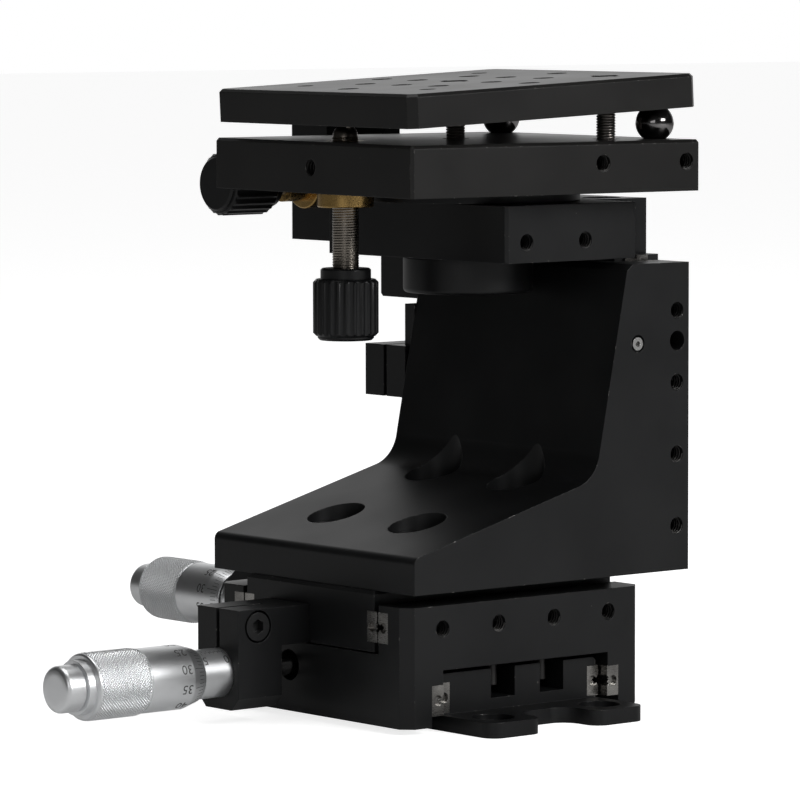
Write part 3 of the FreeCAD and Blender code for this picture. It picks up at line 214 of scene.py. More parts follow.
@dataclass(frozen=True)
class Anodised:
    """Bead-blasted, black anodised aluminium with nicked edges and a little dust."""

    name: str
    dark: tuple[float, float, float] = (0.0040, 0.0042, 0.0046)
    light: tuple[float, float, float] = (0.0070, 0.0072, 0.0076)
    worn: tuple[float, float, float] = (0.30, 0.29, 0.28)
    roughness: float = 0.40
    edge: float = 0.22 * MM
    nicks: float = 0.62
    dust: float = 0.955

    def make(self) -> bpy.types.Material:
        """Builds the material."""
        s = Shader(self.name)
        cloud = s.noise(55.0, 3.0)
        grain = s.noise(4200.0, 2.0)
        base = s.mix(s.ramp(cloud, 0.35, 0.65), (*self.dark, 1), (*self.light, 1))
        chipped = s.ramp(s.noise(900.0, 4.0), self.nicks, self.nicks + 0.1)
        nick = s.math("MULTIPLY", s.edge_mask(self.edge), chipped)
        cells = s.node("ShaderNodeTexVoronoi", Vector=s.coords, Scale=420.0)
        near = s.ramp(cells.outputs["Distance"], 0.10, 0.05)
        split = s.node("ShaderNodeSeparateColor", Color=cells.outputs["Color"])
        speck = s.math("MULTIPLY", near, s.ramp(split.outputs[0], self.dust, self.dust + 0.01))
        base = s.mix(s.math("MULTIPLY", speck, 0.3), base, (0.20, 0.19, 0.18, 1))
        s.put(s.bsdf.inputs["Base Color"], s.mix(nick, base, (*self.worn, 1)))
        s.put(s.bsdf.inputs["Metallic"], s.math("MULTIPLY", nick, 0.8))
        rough = s.math("ADD", s.math("MULTIPLY", cloud, 0.12), self.roughness - 0.06)
        s.put(s.bsdf.inputs["Roughness"], rough)
        s.bsdf.inputs["Specular IOR Level"].default_value = 0.28
        normal = s.round_edges(self.edge)
        s.put(s.bsdf.inputs["Normal"], s.bump(grain, 0.02 * MM, 0.35, normal))
        return s.material


@dataclass(frozen=True)
class Metal:
    """Bare or plated metal with fine tool marks."""

    name: str
    colour: tuple[float, float, float]
    shade: tuple[float, float, float]
    roughness: float
    marks: tuple[float, float, float] = (1.0, 1.0, 1.0)
    scale: float = 1500.0
    depth: float = 0.2
    metallic: float = 1.0
    edge: float = 0.12 * MM

    def make(self) -> bpy.types.Material:
        """Builds the material."""
        s = Shader(self.name)
        marks = s.noise(self.scale, 3.0, self.marks)
        cloud = s.noise(140.0, 2.0)
        base = s.mix(s.ramp(cloud, 0.3, 0.7), (*self.colour, 1), (*self.shade, 1))
        s.put(s.bsdf.inputs["Base Color"], base)
        s.bsdf.inputs["Metallic"].default_value = self.metallic
        rough = s.math("ADD", s.math("MULTIPLY", marks, 0.16), self.roughness - 0.08)
        s.put(s.bsdf.inputs["Roughness"], rough)
        s.put(s.bsdf.inputs["Normal"], s.bump(marks, 0.01 * MM, self.depth, s.round_edges(self.edge)))
        return s.material


class Finishes:
    """Every finish of the stage, made once."""

    def __init__(self) -> None:
        """Makes the materials."""
        self.block = Anodised("black anodised block").make()
        self.plate = Anodised("black anodised plate", dark=(0.0052, 0.0050, 0.0048),
                              light=(0.0080, 0.0076, 0.0072), roughness=0.36).make()
        self.knob = Anodised("black knob", roughness=0.3, nicks=0.7, dust=0.99).make()
        self.thread = Metal("worn thread crest", (0.10, 0.098, 0.095), (0.012, 0.012, 0.012), 0.35,
                            metallic=0.8).make()
        self.oxide = Metal("black oxide screw", (0.02, 0.02, 0.021), (0.03, 0.03, 0.03), 0.38,
                           metallic=0.6).make()
        self.rail = Metal("ground rail steel", (0.36, 0.35, 0.33), (0.14, 0.135, 0.13), 0.28,
                          (1.0, 1.0, 14.0), 900.0, 0.35).make()
        self.post = Metal("dark spring post", (0.045, 0.043, 0.042), (0.025, 0.024, 0.024), 0.35,
                          metallic=0.7).make()
        self.steel = Metal("polished steel", (0.55, 0.54, 0.53), (0.45, 0.45, 0.44), 0.16).make()
        # Painted shade: the balls' base colour is set far below the polished steel's so that they look dark,
        # standing in for the dark surroundings that they reflect.
        self.ball = Metal("bearing steel darkened for painted shade", (0.22, 0.21, 0.21), (0.17, 0.165, 0.165), 0.13,
                          depth=0.05).make()
        self.coil = Metal("spring steel", (0.36, 0.33, 0.31), (0.28, 0.26, 0.24), 0.34).make()
        self.screw = Metal("screw steel", (0.26, 0.235, 0.20), (0.18, 0.16, 0.14), 0.30).make()
        self.chrome = Metal("satin chrome", (0.86, 0.87, 0.88), (0.80, 0.81, 0.82), 0.36, (1, 1, 1), 2600.0,
                            0.12).make()
        self.brass = Metal("turned brass", (0.46, 0.30, 0.11), (0.36, 0.23, 0.08), 0.28).make()
        self.ink = Metal("engraved scale ink", (0.02, 0.02, 0.02), (0.035, 0.035, 0.035), 0.5, metallic=0.0
                         ).make()

    def for_node(self, node: str, slot: str) -> bpy.types.Material:
        """The finish of a CAD node.

        Args:
            node: its name.
            slot: the name of its material slot.

        Returns:
            The material.
        """
        if node in ("top_plate", "lower_plate"):
            return self.plate
        if node == "return_posts":
            return self.post
        return {
            Slot.BLACK.value: self.block,
            Slot.RAIL.value: self.rail,
            Slot.STEEL.value: self.steel,
            Slot.CHROME.value: self.chrome,
            Slot.BRASS.value: self.brass,
            Slot.OXIDE.value: self.oxide,
        }[slot]


def as_object(name: str, mesh: bpy.types.Mesh, material: bpy.types.Material, smooth: float = 35.0
              ) -> bpy.types.Object:
    """Turns a mesh into an object with one material.

    Args:
        name: the piece's name.
        mesh: its mesh.
        material: its finish.
        smooth: edges up to this many degrees are shaded smooth.

    Returns:
        The object, in the scene.
    """
    mesh.materials.append(material)
    piece = bpy.data.objects.new(name, mesh)
    bpy.context.scene.collection.objects.link(piece)
    for face in mesh.polygons:
        face.use_smooth = True
    mesh.set_sharp_from_angle(angle=math.radians(smooth))
    return piece


def along(direction: Vector, origin: Vector) -> Matrix:
    """A matrix that turns Z to a direction and moves the origin to a place."""
    turn = Vector((0, 0, 1)).rotation_difference(direction.normalized())
    return Matrix.Translation(origin) @ turn.to_matrix().to_4x4()


def hand_over(piece: bpy.types.Object, body: str, slot: Slot, *nodes: str) -> None:
    """Gives a piece to its body, hides the CAD nodes that it stands for, and reports it.

    Args:
        piece: the piece.
        body: the body that it rides on.
        slot: its material slot; not used.
        nodes: the CAD nodes that it stands for.
    """
    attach(piece, body)
    if nodes:
        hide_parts(*nodes)
    log.info("%s rides on %s", piece.name, body)


class Turning:
    """Meshes with rings of points about Z, then aimed along a direction."""

    def __init__(self, around: int = 96) -> None:
        """Starts an empty mesh.

        Args:
            around: points in each ring.
        """
        self.around = around
        self.mesh = bmesh.new()

    def ring(self, height: float, radius: Callable[[float], float]) -> list[bmesh.types.BMVert]:
        """One ring of points.

        Args:
            height: along the axis.
            radius: a function of the angle.

        Returns:
            The points.
        """
        points = []
        for i in range(self.around):
            a = 2 * math.pi * i / self.around
            r = radius(a)
            points.append(self.mesh.verts.new((r * math.cos(a), r * math.sin(a), height)))
        return points

    def bridge(self, low: list[bmesh.types.BMVert], high: list[bmesh.types.BMVert]) -> None:
        """Faces between two rings.

        Args:
            low: the first ring.
            high: the second ring.
        """
        n = self.around
        for i in range(n):
            j = (i + 1) % n
            self.mesh.faces.new((low[i], low[j], high[j], high[i]))

    def profile(self, points: list[tuple[float, float]], closed: bool = False) -> "Turning":
        """A turned solid from (height, radius) pairs.

        Args:
            points: the profile; an open one is capped at both ends.
            closed: joins the last ring to the first, as for a tube.

        Returns:
            This mesh.
        """
        rings = [self.ring(h, lambda a, r=r: r) for h, r in points]
        for low, high in zip(rings, rings[1:]):
            self.bridge(low, high)
        if closed:
            self.bridge(rings[-1], rings[0])
        else:
            self.mesh.faces.new(list(reversed(rings[0])))
            self.mesh.faces.new(rings[-1])
        return self

    def rippled(self, start: float, length: float, rows: int, radius: Callable[[float, float], float]
                ) -> "Turning":
        """A capped cylinder with an uneven wall.

        Args:
            start: its first height.
            length: along the axis.
            rows: of faces.
            radius: a function of angle and height.

        Returns:
            This mesh.
        """
        rings = []
        for k in range(rows + 1):
            h = start + length * k / rows
            rings.append(self.ring(h, lambda a, h=h: radius(a, h)))
        for low, high in zip(rings, rings[1:]):
            self.bridge(low, high)
        self.mesh.faces.new(list(reversed(rings[0])))
        self.mesh.faces.new(rings[-1])
        return self

    def finish(self, name: str, place: Matrix, material: bpy.types.Material, smooth: float = 35.0
               ) -> bpy.types.Object:
        """Puts the mesh in place as an object.

        Args:
            name: the piece's name.
            place: where its origin and Z go.
            material: its finish.
            smooth: edges up to this many degrees are shaded smooth.

        Returns:
            The object.
        """
        bmesh.ops.recalc_face_normals(self.mesh, faces=self.mesh.faces)
        self.mesh.transform(place)
        data = bpy.data.meshes.new(name)
        self.mesh.to_mesh(data)
        self.mesh.free()
        return as_object(name, data, material, smooth)


def tooth(x: float) -> float:
    """A ridge from 0 to 1 and back over each unit."""
    return 1 - abs(2 * (x - math.floor(x)) - 1)


def islands(node: str) -> list[tuple[Vector, Vector]]:
    """The corners of each separate solid of a CAD node.

    Args:
        node: its name.

    Returns:
        The lowest and highest corner of each, sorted by x and then y.
    """
    work = bmesh.new()
    work.from_mesh(frame["nodes"][node].data)
    bmesh.ops.remove_doubles(work, verts=work.verts, dist=1e-7)
    left = set(work.verts)
    boxes = []
    while left:
        group, edge = set(), [next(iter(left))]
        while edge:
            vert = edge.pop()
            if vert in group:
                continue
            group.add(vert)
            edge.extend(e.other_vert(vert) for e in vert.link_edges)
        left -= group
        low = Vector([min(v.co[i] for v in group) for i in range(3)])
        high = Vector([max(v.co[i] for v in group) for i in range(3)])
        boxes.append((low, high))
    work.free()
    return sorted(boxes, key=lambda b: (round(b[0].x, 5), round(b[0].y, 5)))


def seat(node: str, direction: Vector) -> tuple[Vector, float]:
    """Where a node starts on its middle line.

    Args:
        node: its name.
        direction: the way it runs.

    Returns:
        The middle of its first end, and its length.
    """
    low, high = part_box(node)
    centre = (low + high) / 2
    length = abs((high - low).dot(direction))
    return centre - direction * (length / 2), length


@dataclass
class Micrometer:
    """One micrometer head: sleeve, spindle and thimble with knurl and scales. Sizes in metres."""

    name: str
    outward: Vector
    facing: Vector
    finishes: Finishes
    sleeve_r: float = 4.75 * MM
    thimble_r: float = 6.2 * MM
    knurl_r: float = 6.5 * MM
    bevel: float = 3.2 * MM
    plain: float = 13.5 * MM
    knurl: float = 12.2 * MM
    ring: float = 0.5 * MM
    neck_r: float = 5.3 * MM
    neck: float = 1.6 * MM
    cap_r: float = 4.5 * MM
    lip: float = 0.45 * MM
    divisions: int = 50
    ridges: int = 66
    ridge: float = 0.34 * MM
    front_value: float = 32.9
    index_above: float = math.radians(66)
    sleeve_bore: float = 2.1 * MM
    spindle_r: float = 2.0 * MM
    clamp: float = 20 * MM
    half_lines: int = 27
    drum_digits: float = 2.6 * MM
    sleeve_digits: float = 2.5 * MM

    def build(self) -> None:
        """Builds the whole head."""
        self.thimble()
        self.sleeve()
        self.spindle()

    def thimble(self) -> None:
        """Bevel, plain drum, diamond knurl, neck and domed cap, with its marks."""
        node = f"{self.name}_thimble"
        start, far = seat(node, self.outward)
        place = along(self.outward, start)
        end = self.plain + self.knurl
        bore = self.sleeve_r + 0.25 * MM
        drum = Turning(128).profile([
            (0, bore), (0, self.sleeve_r + self.lip), (0.25 * MM, self.sleeve_r + self.lip + 0.1 * MM),
            (self.bevel, self.thimble_r - 0.04 * MM), (self.bevel + 0.15 * MM, self.thimble_r),
            (self.plain - 0.4 * MM, self.thimble_r), (self.plain - 0.3 * MM, self.thimble_r - 0.15 * MM),
            (self.plain, self.thimble_r - 0.15 * MM), (self.plain, bore),
        ], closed=True).finish(f"{self.name}_drum_shell", place, self.finishes.chrome, 25)
        hand_over(drum, f"{self.name}_drum", Slot.CHROME, node)
        knurl = self.knurl - self.ring
        grip = Turning(528).rippled(self.plain, knurl, 160, self.knurl_radius)
        hand_over(grip.finish(f"{self.name}_knurl", place, self.finishes.chrome, 24), f"{self.name}_drum",
                  Slot.CHROME)
        dome = [(far - 1.1 * MM + 1.1 * MM * math.sin(t), self.cap_r - 1.1 * MM * (1 - math.cos(t)))
                for t in [math.radians(d) for d in (0, 15, 30, 45, 60, 75)]]
        cap = Turning(128).profile([
            (self.plain + knurl, self.knurl_r - 0.12 * MM), (end - 0.25 * MM, self.knurl_r - 0.2 * MM),
            (end, self.knurl_r - 0.5 * MM), (end, self.neck_r), (end + self.neck, self.neck_r - 0.1 * MM),
            (end + self.neck, self.cap_r - 0.3 * MM), (end + self.neck + 0.3 * MM, self.cap_r),
            *dome, (far, self.cap_r * 0.55), (far, 0.02 * MM),
        ]).finish(f"{self.name}_friction_cap", place, self.finishes.chrome, 28)
        hand_over(cap, f"{self.name}_drum", Slot.CHROME)
        self.drum_marks(place)

    def knurl_radius(self, a: float, h: float) -> float:
        """Radius of the diamond knurl.

        Args:
            a: the angle.
            h: the height.

        Returns:
            The radius there, with the ridges fading out at both ends.
        """
        pitch = 2 * math.pi * self.knurl_r / self.ridges
        turn = a * self.ridges / (2 * math.pi)
        rise = h / pitch
        tip = min(tooth(turn + rise), tooth(turn - rise))
        edge = min(h - self.plain, self.plain + self.knurl - self.ring - h) / (0.4 * MM)
        return self.knurl_r - self.ridge * (1 - min(1.0, tip * 1.25) * max(0.0, min(1.0, edge)))

    def side_turn(self, place: Matrix) -> float:
        """Angle about the head's own axis of the side that faces the viewer."""
        local = place.to_3x3().inverted() @ self.facing
        return math.atan2(local.y, local.x)

    def sense(self, place: Matrix) -> float:
        """Which way round the numbers grow past the facing side.

        Args:
            place: where the head's origin and Z go.

        Returns:
            +1 or -1.
        """
        down = place.to_3x3().inverted() @ self.down()
        front = place.to_3x3().inverted() @ self.facing
        return 1.0 if front.cross(down).z > 0 else -1.0

    def down(self) -> Vector:
        """Which way the numbers grow past the facing side."""
        return Vector((0, 0, -1)) if abs(self.outward.z) < 0.5 else Vector((1, 0, 0))

    def drum_marks(self, place: Matrix) -> None:
        """Division lines on the bevel and a number at every fifth.

        Args:
            place: where the thimble's origin and Z go.
        """
        marks = bmesh.new()
        front = self.side_turn(place)
        sense = self.sense(place)
        slope = (self.thimble_r - self.sleeve_r - self.lip) / self.bevel
        for i in range(self.divisions):
            a = front + sense * (i - self.front_value) * 2 * math.pi / self.divisions
            long = self.bevel * (0.92 if i % 5 == 0 else 0.6)
            bar(marks, a, 0.08 * MM, long, self.sleeve_r + self.lip, slope, 0.09 * MM)
        for i in range(0, self.divisions, 5):
            a = front + sense * (i - self.front_value) * 2 * math.pi / self.divisions
            wrap_text(marks, str(i), self.drum_digits, a, sense, self.bevel + 0.45 * MM, self.thimble_r)
        self.give_marks(marks, place, f"{self.name}_drum_marks", f"{self.name}_drum")

    def give_marks(self, marks: bmesh.types.BMesh, place: Matrix, name: str, body: str) -> None:
        """Turns collected marks into a piece.

        Args:
            marks: the marks about Z.
            place: where their origin and Z go.
            name: the piece's name.
            body: the body that it rides on.
        """
        marks.transform(place)
        data = bpy.data.meshes.new(name)
        marks.to_mesh(data)
        marks.free()
        hand_over(as_object(name, data, self.finishes.ink), body, Slot.OXIDE)

    def sleeve(self) -> None:
        """The scaled sleeve with its index line, half-millimetre lines and numbers."""
        node = f"{self.name}_sleeve"
        start, length = seat(node, self.outward)
        place = along(self.outward, start)
        bore = self.sleeve_bore
        shell = Turning(128).profile([
            (0, bore), (0, self.sleeve_r), (length - 0.3 * MM, self.sleeve_r),
            (length, self.sleeve_r - 0.3 * MM), (length, bore)], closed=True)
        tube = shell.finish(f"{self.name}_sleeve_tube", place, self.finishes.chrome, 25)
        hand_over(tube, self.sleeve_body(), Slot.CHROME, node)
        clamp = length - self.clamp
        marks = bmesh.new()
        sense = self.sense(place)
        a = self.side_turn(place) - sense * self.index_above
        bar(marks, a, clamp + 0.5 * MM, 14.5 * MM, self.sleeve_r, 0.0, 0.1 * MM)
        for i in range(self.half_lines):
            width = 9 if i % 10 == 0 else 6
            turn = sense * math.radians(width * (1 if i % 2 == 0 else -1))
            sweep(marks, a, turn, clamp + (0.8 + i * 0.5) * MM, self.sleeve_r)
        for k in range(3):
            wrap_text(marks, str(5 * k), self.sleeve_digits, a + sense * math.radians(25), sense,
                      clamp + (0.2 + 5 * k) * MM, self.sleeve_r)
        self.give_marks(marks, place, f"{self.name}_sleeve_marks", self.sleeve_body())

    def sleeve_body(self) -> str:
        """The body that carries the sleeve."""
        return "base" if self.name == "y" else "x_carriage"

    def spindle(self) -> None:
        """The ground measuring spindle with a lapped tip."""
        node = f"{self.name}_spindle"
        start, length = seat(node, self.outward)
        r = self.spindle_r
        body = Turning(64).profile([(0, r - 0.3 * MM), (0.3 * MM, r), (length, r)])
        piece = body.finish(f"{self.name}_ground_spindle", along(self.outward, start), self.finishes.steel)
        hand_over(piece, f"{self.name}_screw", Slot.STEEL, node)


def bar(mesh: bmesh.types.BMesh, angle: float, start: float, end: float, radius: float, slope: float,
        width: float) -> None:
    """A thin raised line along a drum.

    Args:
        mesh: the marks that it joins.
        angle: where it is round the axis.
        start: its first height.
        end: its last height.
        radius: of the drum at height 0.
        slope: how much the radius grows with height.
        width: of the line.
    """
    half = width / 2 / radius
    spots = []
    for h in (start, end):
        r = radius + slope * h + PROUD
        for side in (-1, 1):
            a = angle + side * half
            spots.append(mesh.verts.new((r * math.cos(a), r * math.sin(a), h)))
    mesh.faces.new((spots[0], spots[1], spots[3], spots[2]))


def sweep(mesh: bmesh.types.BMesh, angle: float, turn: float, height: float, radius: float) -> None:
    """A thin raised line round a sleeve.

    Args:
        mesh: the marks that it joins.
        angle: where it starts.
        turn: how far it goes.
        height: along the axis.
        radius: of the sleeve.
    """
    half = 0.045 * MM
    steps = 4
    last = None
    for k in range(steps + 1):
        a = angle + turn * k / steps
        r = radius + PROUD
        pair = [mesh.verts.new((r * math.cos(a), r * math.sin(a), height + s * half)) for s in (-1, 1)]
        if last:
            mesh.faces.new((last[0], pair[0], pair[1], last[1]))
        last = pair


def wrap_text(mesh: bmesh.types.BMesh, text: str, size: float, angle: float, sense: float, height: float,
              radius: float) -> None:
    """Lays a number on a drum: it reads outward along the axis, its top towards growing numbers.

    Args:
        mesh: the marks that it joins.
        text: the digits.
        size: of the digits.
        angle: where its middle line is.
        sense: which way round numbers grow, +1 or -1.
        height: where it starts.
        radius: of the drum.
    """
    curve = bpy.data.curves.new("digits", "FONT")
    curve.body = text
    curve.size = size
    curve.resolution_u = 3
    curve.align_y = "CENTER"
    holder = bpy.data.objects.new("digits", curve)
    bpy.context.scene.collection.objects.link(holder)
    bpy.context.view_layer.update()
    flat = bpy.data.meshes.new_from_object(holder.evaluated_get(bpy.context.evaluated_depsgraph_get()))
    bpy.data.objects.remove(holder)
    work = bmesh.new()
    work.from_mesh(flat)
    bmesh.ops.subdivide_edges(work, edges=[e for e in work.edges if e.calc_length() > 0.4 * MM], cuts=1)
    for v in work.verts:
        a = angle + sense * v.co.y / radius
        h = height + v.co.x
        v.co = Vector(((radius + PROUD) * math.cos(a), (radius + PROUD) * math.sin(a), h))
    copy = bpy.data.meshes.new("digits")
    work.to_mesh(copy)
    work.free()
    mesh.from_mesh(copy)
    bpy.data.meshes.remove(copy)
    bpy.data.meshes.remove(flat)


@dataclass
class AdjustingScrew:
    """A fine-pitch screw with its fluted knob and brass bush. Sizes in metres."""

    name: str
    direction: Vector
    finishes: Finishes
    radius: float = 2.6 * MM
    pitch: float = 0.5 * MM
    thread: float = 0.13 * MM
    rows_per_turn: int = 8
    flutes: int = 24
    flute_r: float = 0.8 * MM
    flute_depth: float = 0.35 * MM
    ring_h: float = 0.8 * MM
    ring_in: float = 0.9 * MM
    rim: float = 0.6 * MM
    knob_r: float = 6.35 * MM
    knob_h: float = 11.8 * MM
    collar_r: float = 4.9 * MM
    bush_r: float = 4.0 * MM
    flange_r: float = 5.5 * MM

    def build(self) -> None:
        """Builds screw, knob and bush."""
        self.screw()
        self.knob()
        self.bush()

    def threaded(self, a: float, h: float) -> float:
        """Radius of the thread at an angle and height."""
        return self.radius - self.thread * (1 - tooth(h / self.pitch - a / (2 * math.pi)))

    def screw(self) -> None:
        """The thread with its domed tip."""
        node = f"{self.name}_screw"
        start, length = seat(node, self.direction)
        straight = length - self.radius
        rows = int(straight / self.pitch * self.rows_per_turn)
        body = Turning(48)
        body.rippled(0, straight, rows, self.threaded)
        dome = [(straight + self.radius * math.sin(t), (self.radius - self.thread) * math.cos(t))
                for t in [math.radians(d) for d in (0, 15, 30, 45, 60, 75, 88)]]
        body.profile(dome)
        piece = body.finish(f"{self.name}_thread", along(self.direction, start), self.finishes.screw, 50)
        hand_over(piece, f"{self.name}_feed", Slot.STEEL, node)

    def fluted(self, a: float, h: float) -> float:
        """Radius of the knob's grip.

        Args:
            a: the angle.
            h: the height.

        Returns:
            The radius there, with shallow round flutes between chamfered rims.
        """
        out = self.knob_r - self.flute_depth + self.flute_r
        step = 2 * math.pi / self.flutes
        off = a - step * round(a / step)
        aside = out * math.sin(off)
        wall = self.knob_r
        if abs(aside) < self.flute_r:
            wall = min(wall, out * math.cos(off) - math.sqrt(self.flute_r ** 2 - aside ** 2))
        lost = max(0.0, self.ring_h + self.rim - h, h - (self.knob_h - self.rim))
        return min(wall, self.knob_r - lost)

    def knob(self) -> None:
        """The fluted knob with its foot ring and its collar."""
        node = f"{self.name}_knob"
        start, length = seat(node, self.direction)
        place = along(self.direction, start)
        body = Turning(self.flutes * 16)
        low, high = self.ring_h, self.knob_h
        heights = [low, low + self.rim / 2, low + self.rim, high - self.rim, high - self.rim / 2, high]
        made = [body.ring(h, lambda a, h=h: self.fluted(a, h)) for h in heights]
        for under, over in zip(made, made[1:]):
            body.bridge(under, over)
        body.mesh.faces.new(list(reversed(made[0])))
        body.mesh.faces.new(made[-1])
        foot = self.knob_r - self.ring_in
        body.profile([(0, foot - self.ring_h / 2), (self.ring_h / 2, foot), (self.ring_h, foot)])
        piece = body.finish(f"{self.name}_knob_grip", place, self.finishes.knob, 30)
        hand_over(piece, f"{self.name}_grip", Slot.BLACK, node)
        bore = self.radius + 0.05 * MM
        collar = Turning(96).profile([
            (self.knob_h, bore), (self.knob_h, self.collar_r), (length - 0.3 * MM, self.collar_r),
            (length, self.collar_r - 0.3 * MM), (length, bore)], closed=True)
        hand_over(collar.finish(f"{self.name}_knob_collar", place, self.finishes.knob), f"{self.name}_grip",
                  Slot.BLACK)

    def bush(self) -> None:
        """The flanged brass bush that holds the screw."""
        node = f"{self.name}_bush"
        start, length = seat(node, self.direction)
        bore = self.radius + 0.04 * MM
        if self.name == "tilt":
            low, high = 0.0, 2.8 * MM
        else:
            low, high = 5.5 * MM, 7.0 * MM
        e = 0.2 * MM
        outline = [(0, bore), (0, self.bush_r)] if low else [(0, bore)]
        outline += [(low, self.flange_r - e), (low + e, self.flange_r), (high - e, self.flange_r),
                    (high, self.flange_r - e), (high, self.bush_r), (length, self.bush_r), (length, bore)]
        if low:
            outline.insert(2, (low, self.bush_r))
        body = "table" if self.name == "tilt" else "lift"
        piece = Turning(96).profile(outline, closed=True)
        hand_over(piece.finish(f"{self.name}_brass_bush", along(self.direction, start), self.finishes.brass),
                  body, Slot.BRASS, node)


@dataclass
class TiltJoint:
    """The balls and springs between the two plates. Sizes in metres."""

    finishes: Finishes
    wire: float = 0.5 * MM
    turns_per_mm: float = 1.9

    def build(self) -> None:
        """Builds balls and springs."""
        for i, (low, high) in enumerate(islands("tilt_balls")):
            self.ball(i, low, high)
        for i, (low, high) in enumerate(islands("tilt_springs")):
            self.spring(i, low, high)

    def ball(self, i: int, low: Vector, high: Vector) -> None:
        """One bearing ball.

        Args:
            i: its number, from 0.
            low: its lowest corner.
            high: its highest corner.
        """
        mesh = bmesh.new()
        bmesh.ops.create_uvsphere(mesh, u_segments=64, v_segments=32, radius=(high.z - low.z) / 2)
        mesh.transform(Matrix.Translation((low + high) / 2))
        data = bpy.data.meshes.new("ball")
        mesh.to_mesh(data)
        mesh.free()
        piece = as_object(f"tilt_ball_{i + 1}", data, self.finishes.ball)
        hand_over(piece, "table", Slot.STEEL, "tilt_balls")

    def spring(self, i: int, low: Vector, high: Vector) -> None:
        """One close-wound extension spring.

        Args:
            i: its number, from 0.
            low: its lowest corner.
            high: its highest corner.
        """
        radius = (high.x - low.x) / 2 - self.wire / 2
        centre = (low + high) / 2
        length = high.z - low.z - self.wire
        start = Vector((centre.x, centre.y, low.z + self.wire / 2))
        data = coil(radius, self.wire / 2, length, int(length / MM * self.turns_per_mm))
        data.transform(Matrix.Translation(start))
        piece = as_object(f"tilt_spring_{i + 1}", data, self.finishes.coil, 60)
        hand_over(piece, "table", Slot.STEEL, "tilt_springs")


def coil(radius: float, wire: float, length: float, turns: float, sides: int = 8) -> bpy.types.Mesh:
    """A helix of round wire about Z, from Z = 0 up.

    Args:
        radius: from the axis to the middle of the wire.
        wire: radius of the wire.
        length: along the axis.
        turns: how many.
        sides: facets round the wire.

    Returns:
        The mesh, closed at both ends.
    """
    work = bmesh.new()
    count = max(8, int(turns * 24))
    last = None
    for k in range(count + 1):
        a = 2 * math.pi * turns * k / count
        ring = []
        for j in range(sides):
            t = 2 * math.pi * j / sides
            r = radius + wire * math.cos(t)
            height = length * k / count + wire * math.sin(t)
            ring.append(work.verts.new((r * math.cos(a), r * math.sin(a), height)))
        if last:
            for j in range(sides):
                n = (j + 1) % sides
                work.faces.new((last[j], last[n], ring[n], ring[j]))
        else:
            work.faces.new(ring)
        last = ring
    work.faces.new(list(reversed(last)))
    bmesh.ops.recalc_face_normals(work, faces=work.faces)
    data = bpy.data.meshes.new("coil")
    work.to_mesh(data)
    work.free()
    return data


@dataclass
class ReturnSprings:
    """The springs in the slots of the base, with the pins that hold their far ends. Sizes in metres."""

    finishes: Finishes
    wire: float = 0.5 * MM
    turns_per_mm: float = 1.8

    def build(self) -> None:
        """Builds a coil for each tube, which runs along Y, and a rod for each pin, which runs along X."""
        for i, (low, high) in enumerate(islands("return_springs")):
            size = high - low
            name = f"return_spring_{i + 1}" if size.y > size.x else f"return_pin_{i + 1}"
            if size.y > size.x:
                start = Vector(((low.x + high.x) / 2, low.y + self.wire / 2, (low.z + high.z) / 2))
                length = size.y - self.wire
                turns = int(length / MM * self.turns_per_mm)
                data = coil(size.x / 2 - self.wire / 2, self.wire / 2, length, turns)
                data.transform(along(Vector((0, 1, 0)), start))
                piece = as_object(name, data, self.finishes.coil, 60)
            else:
                place = along(Vector((1, 0, 0)), Vector((low.x, (low.y + high.y) / 2, (low.z + high.z) / 2)))
                r = size.z / 2
                pin = Turning(32).profile([(0, r - 0.1 * MM), (0.1 * MM, r), (size.x - 0.1 * MM, r),
                                           (size.x, r - 0.1 * MM)])
                piece = pin.finish(name, place, self.finishes.steel)
            hand_over(piece, "base", Slot.STEEL, "return_springs")


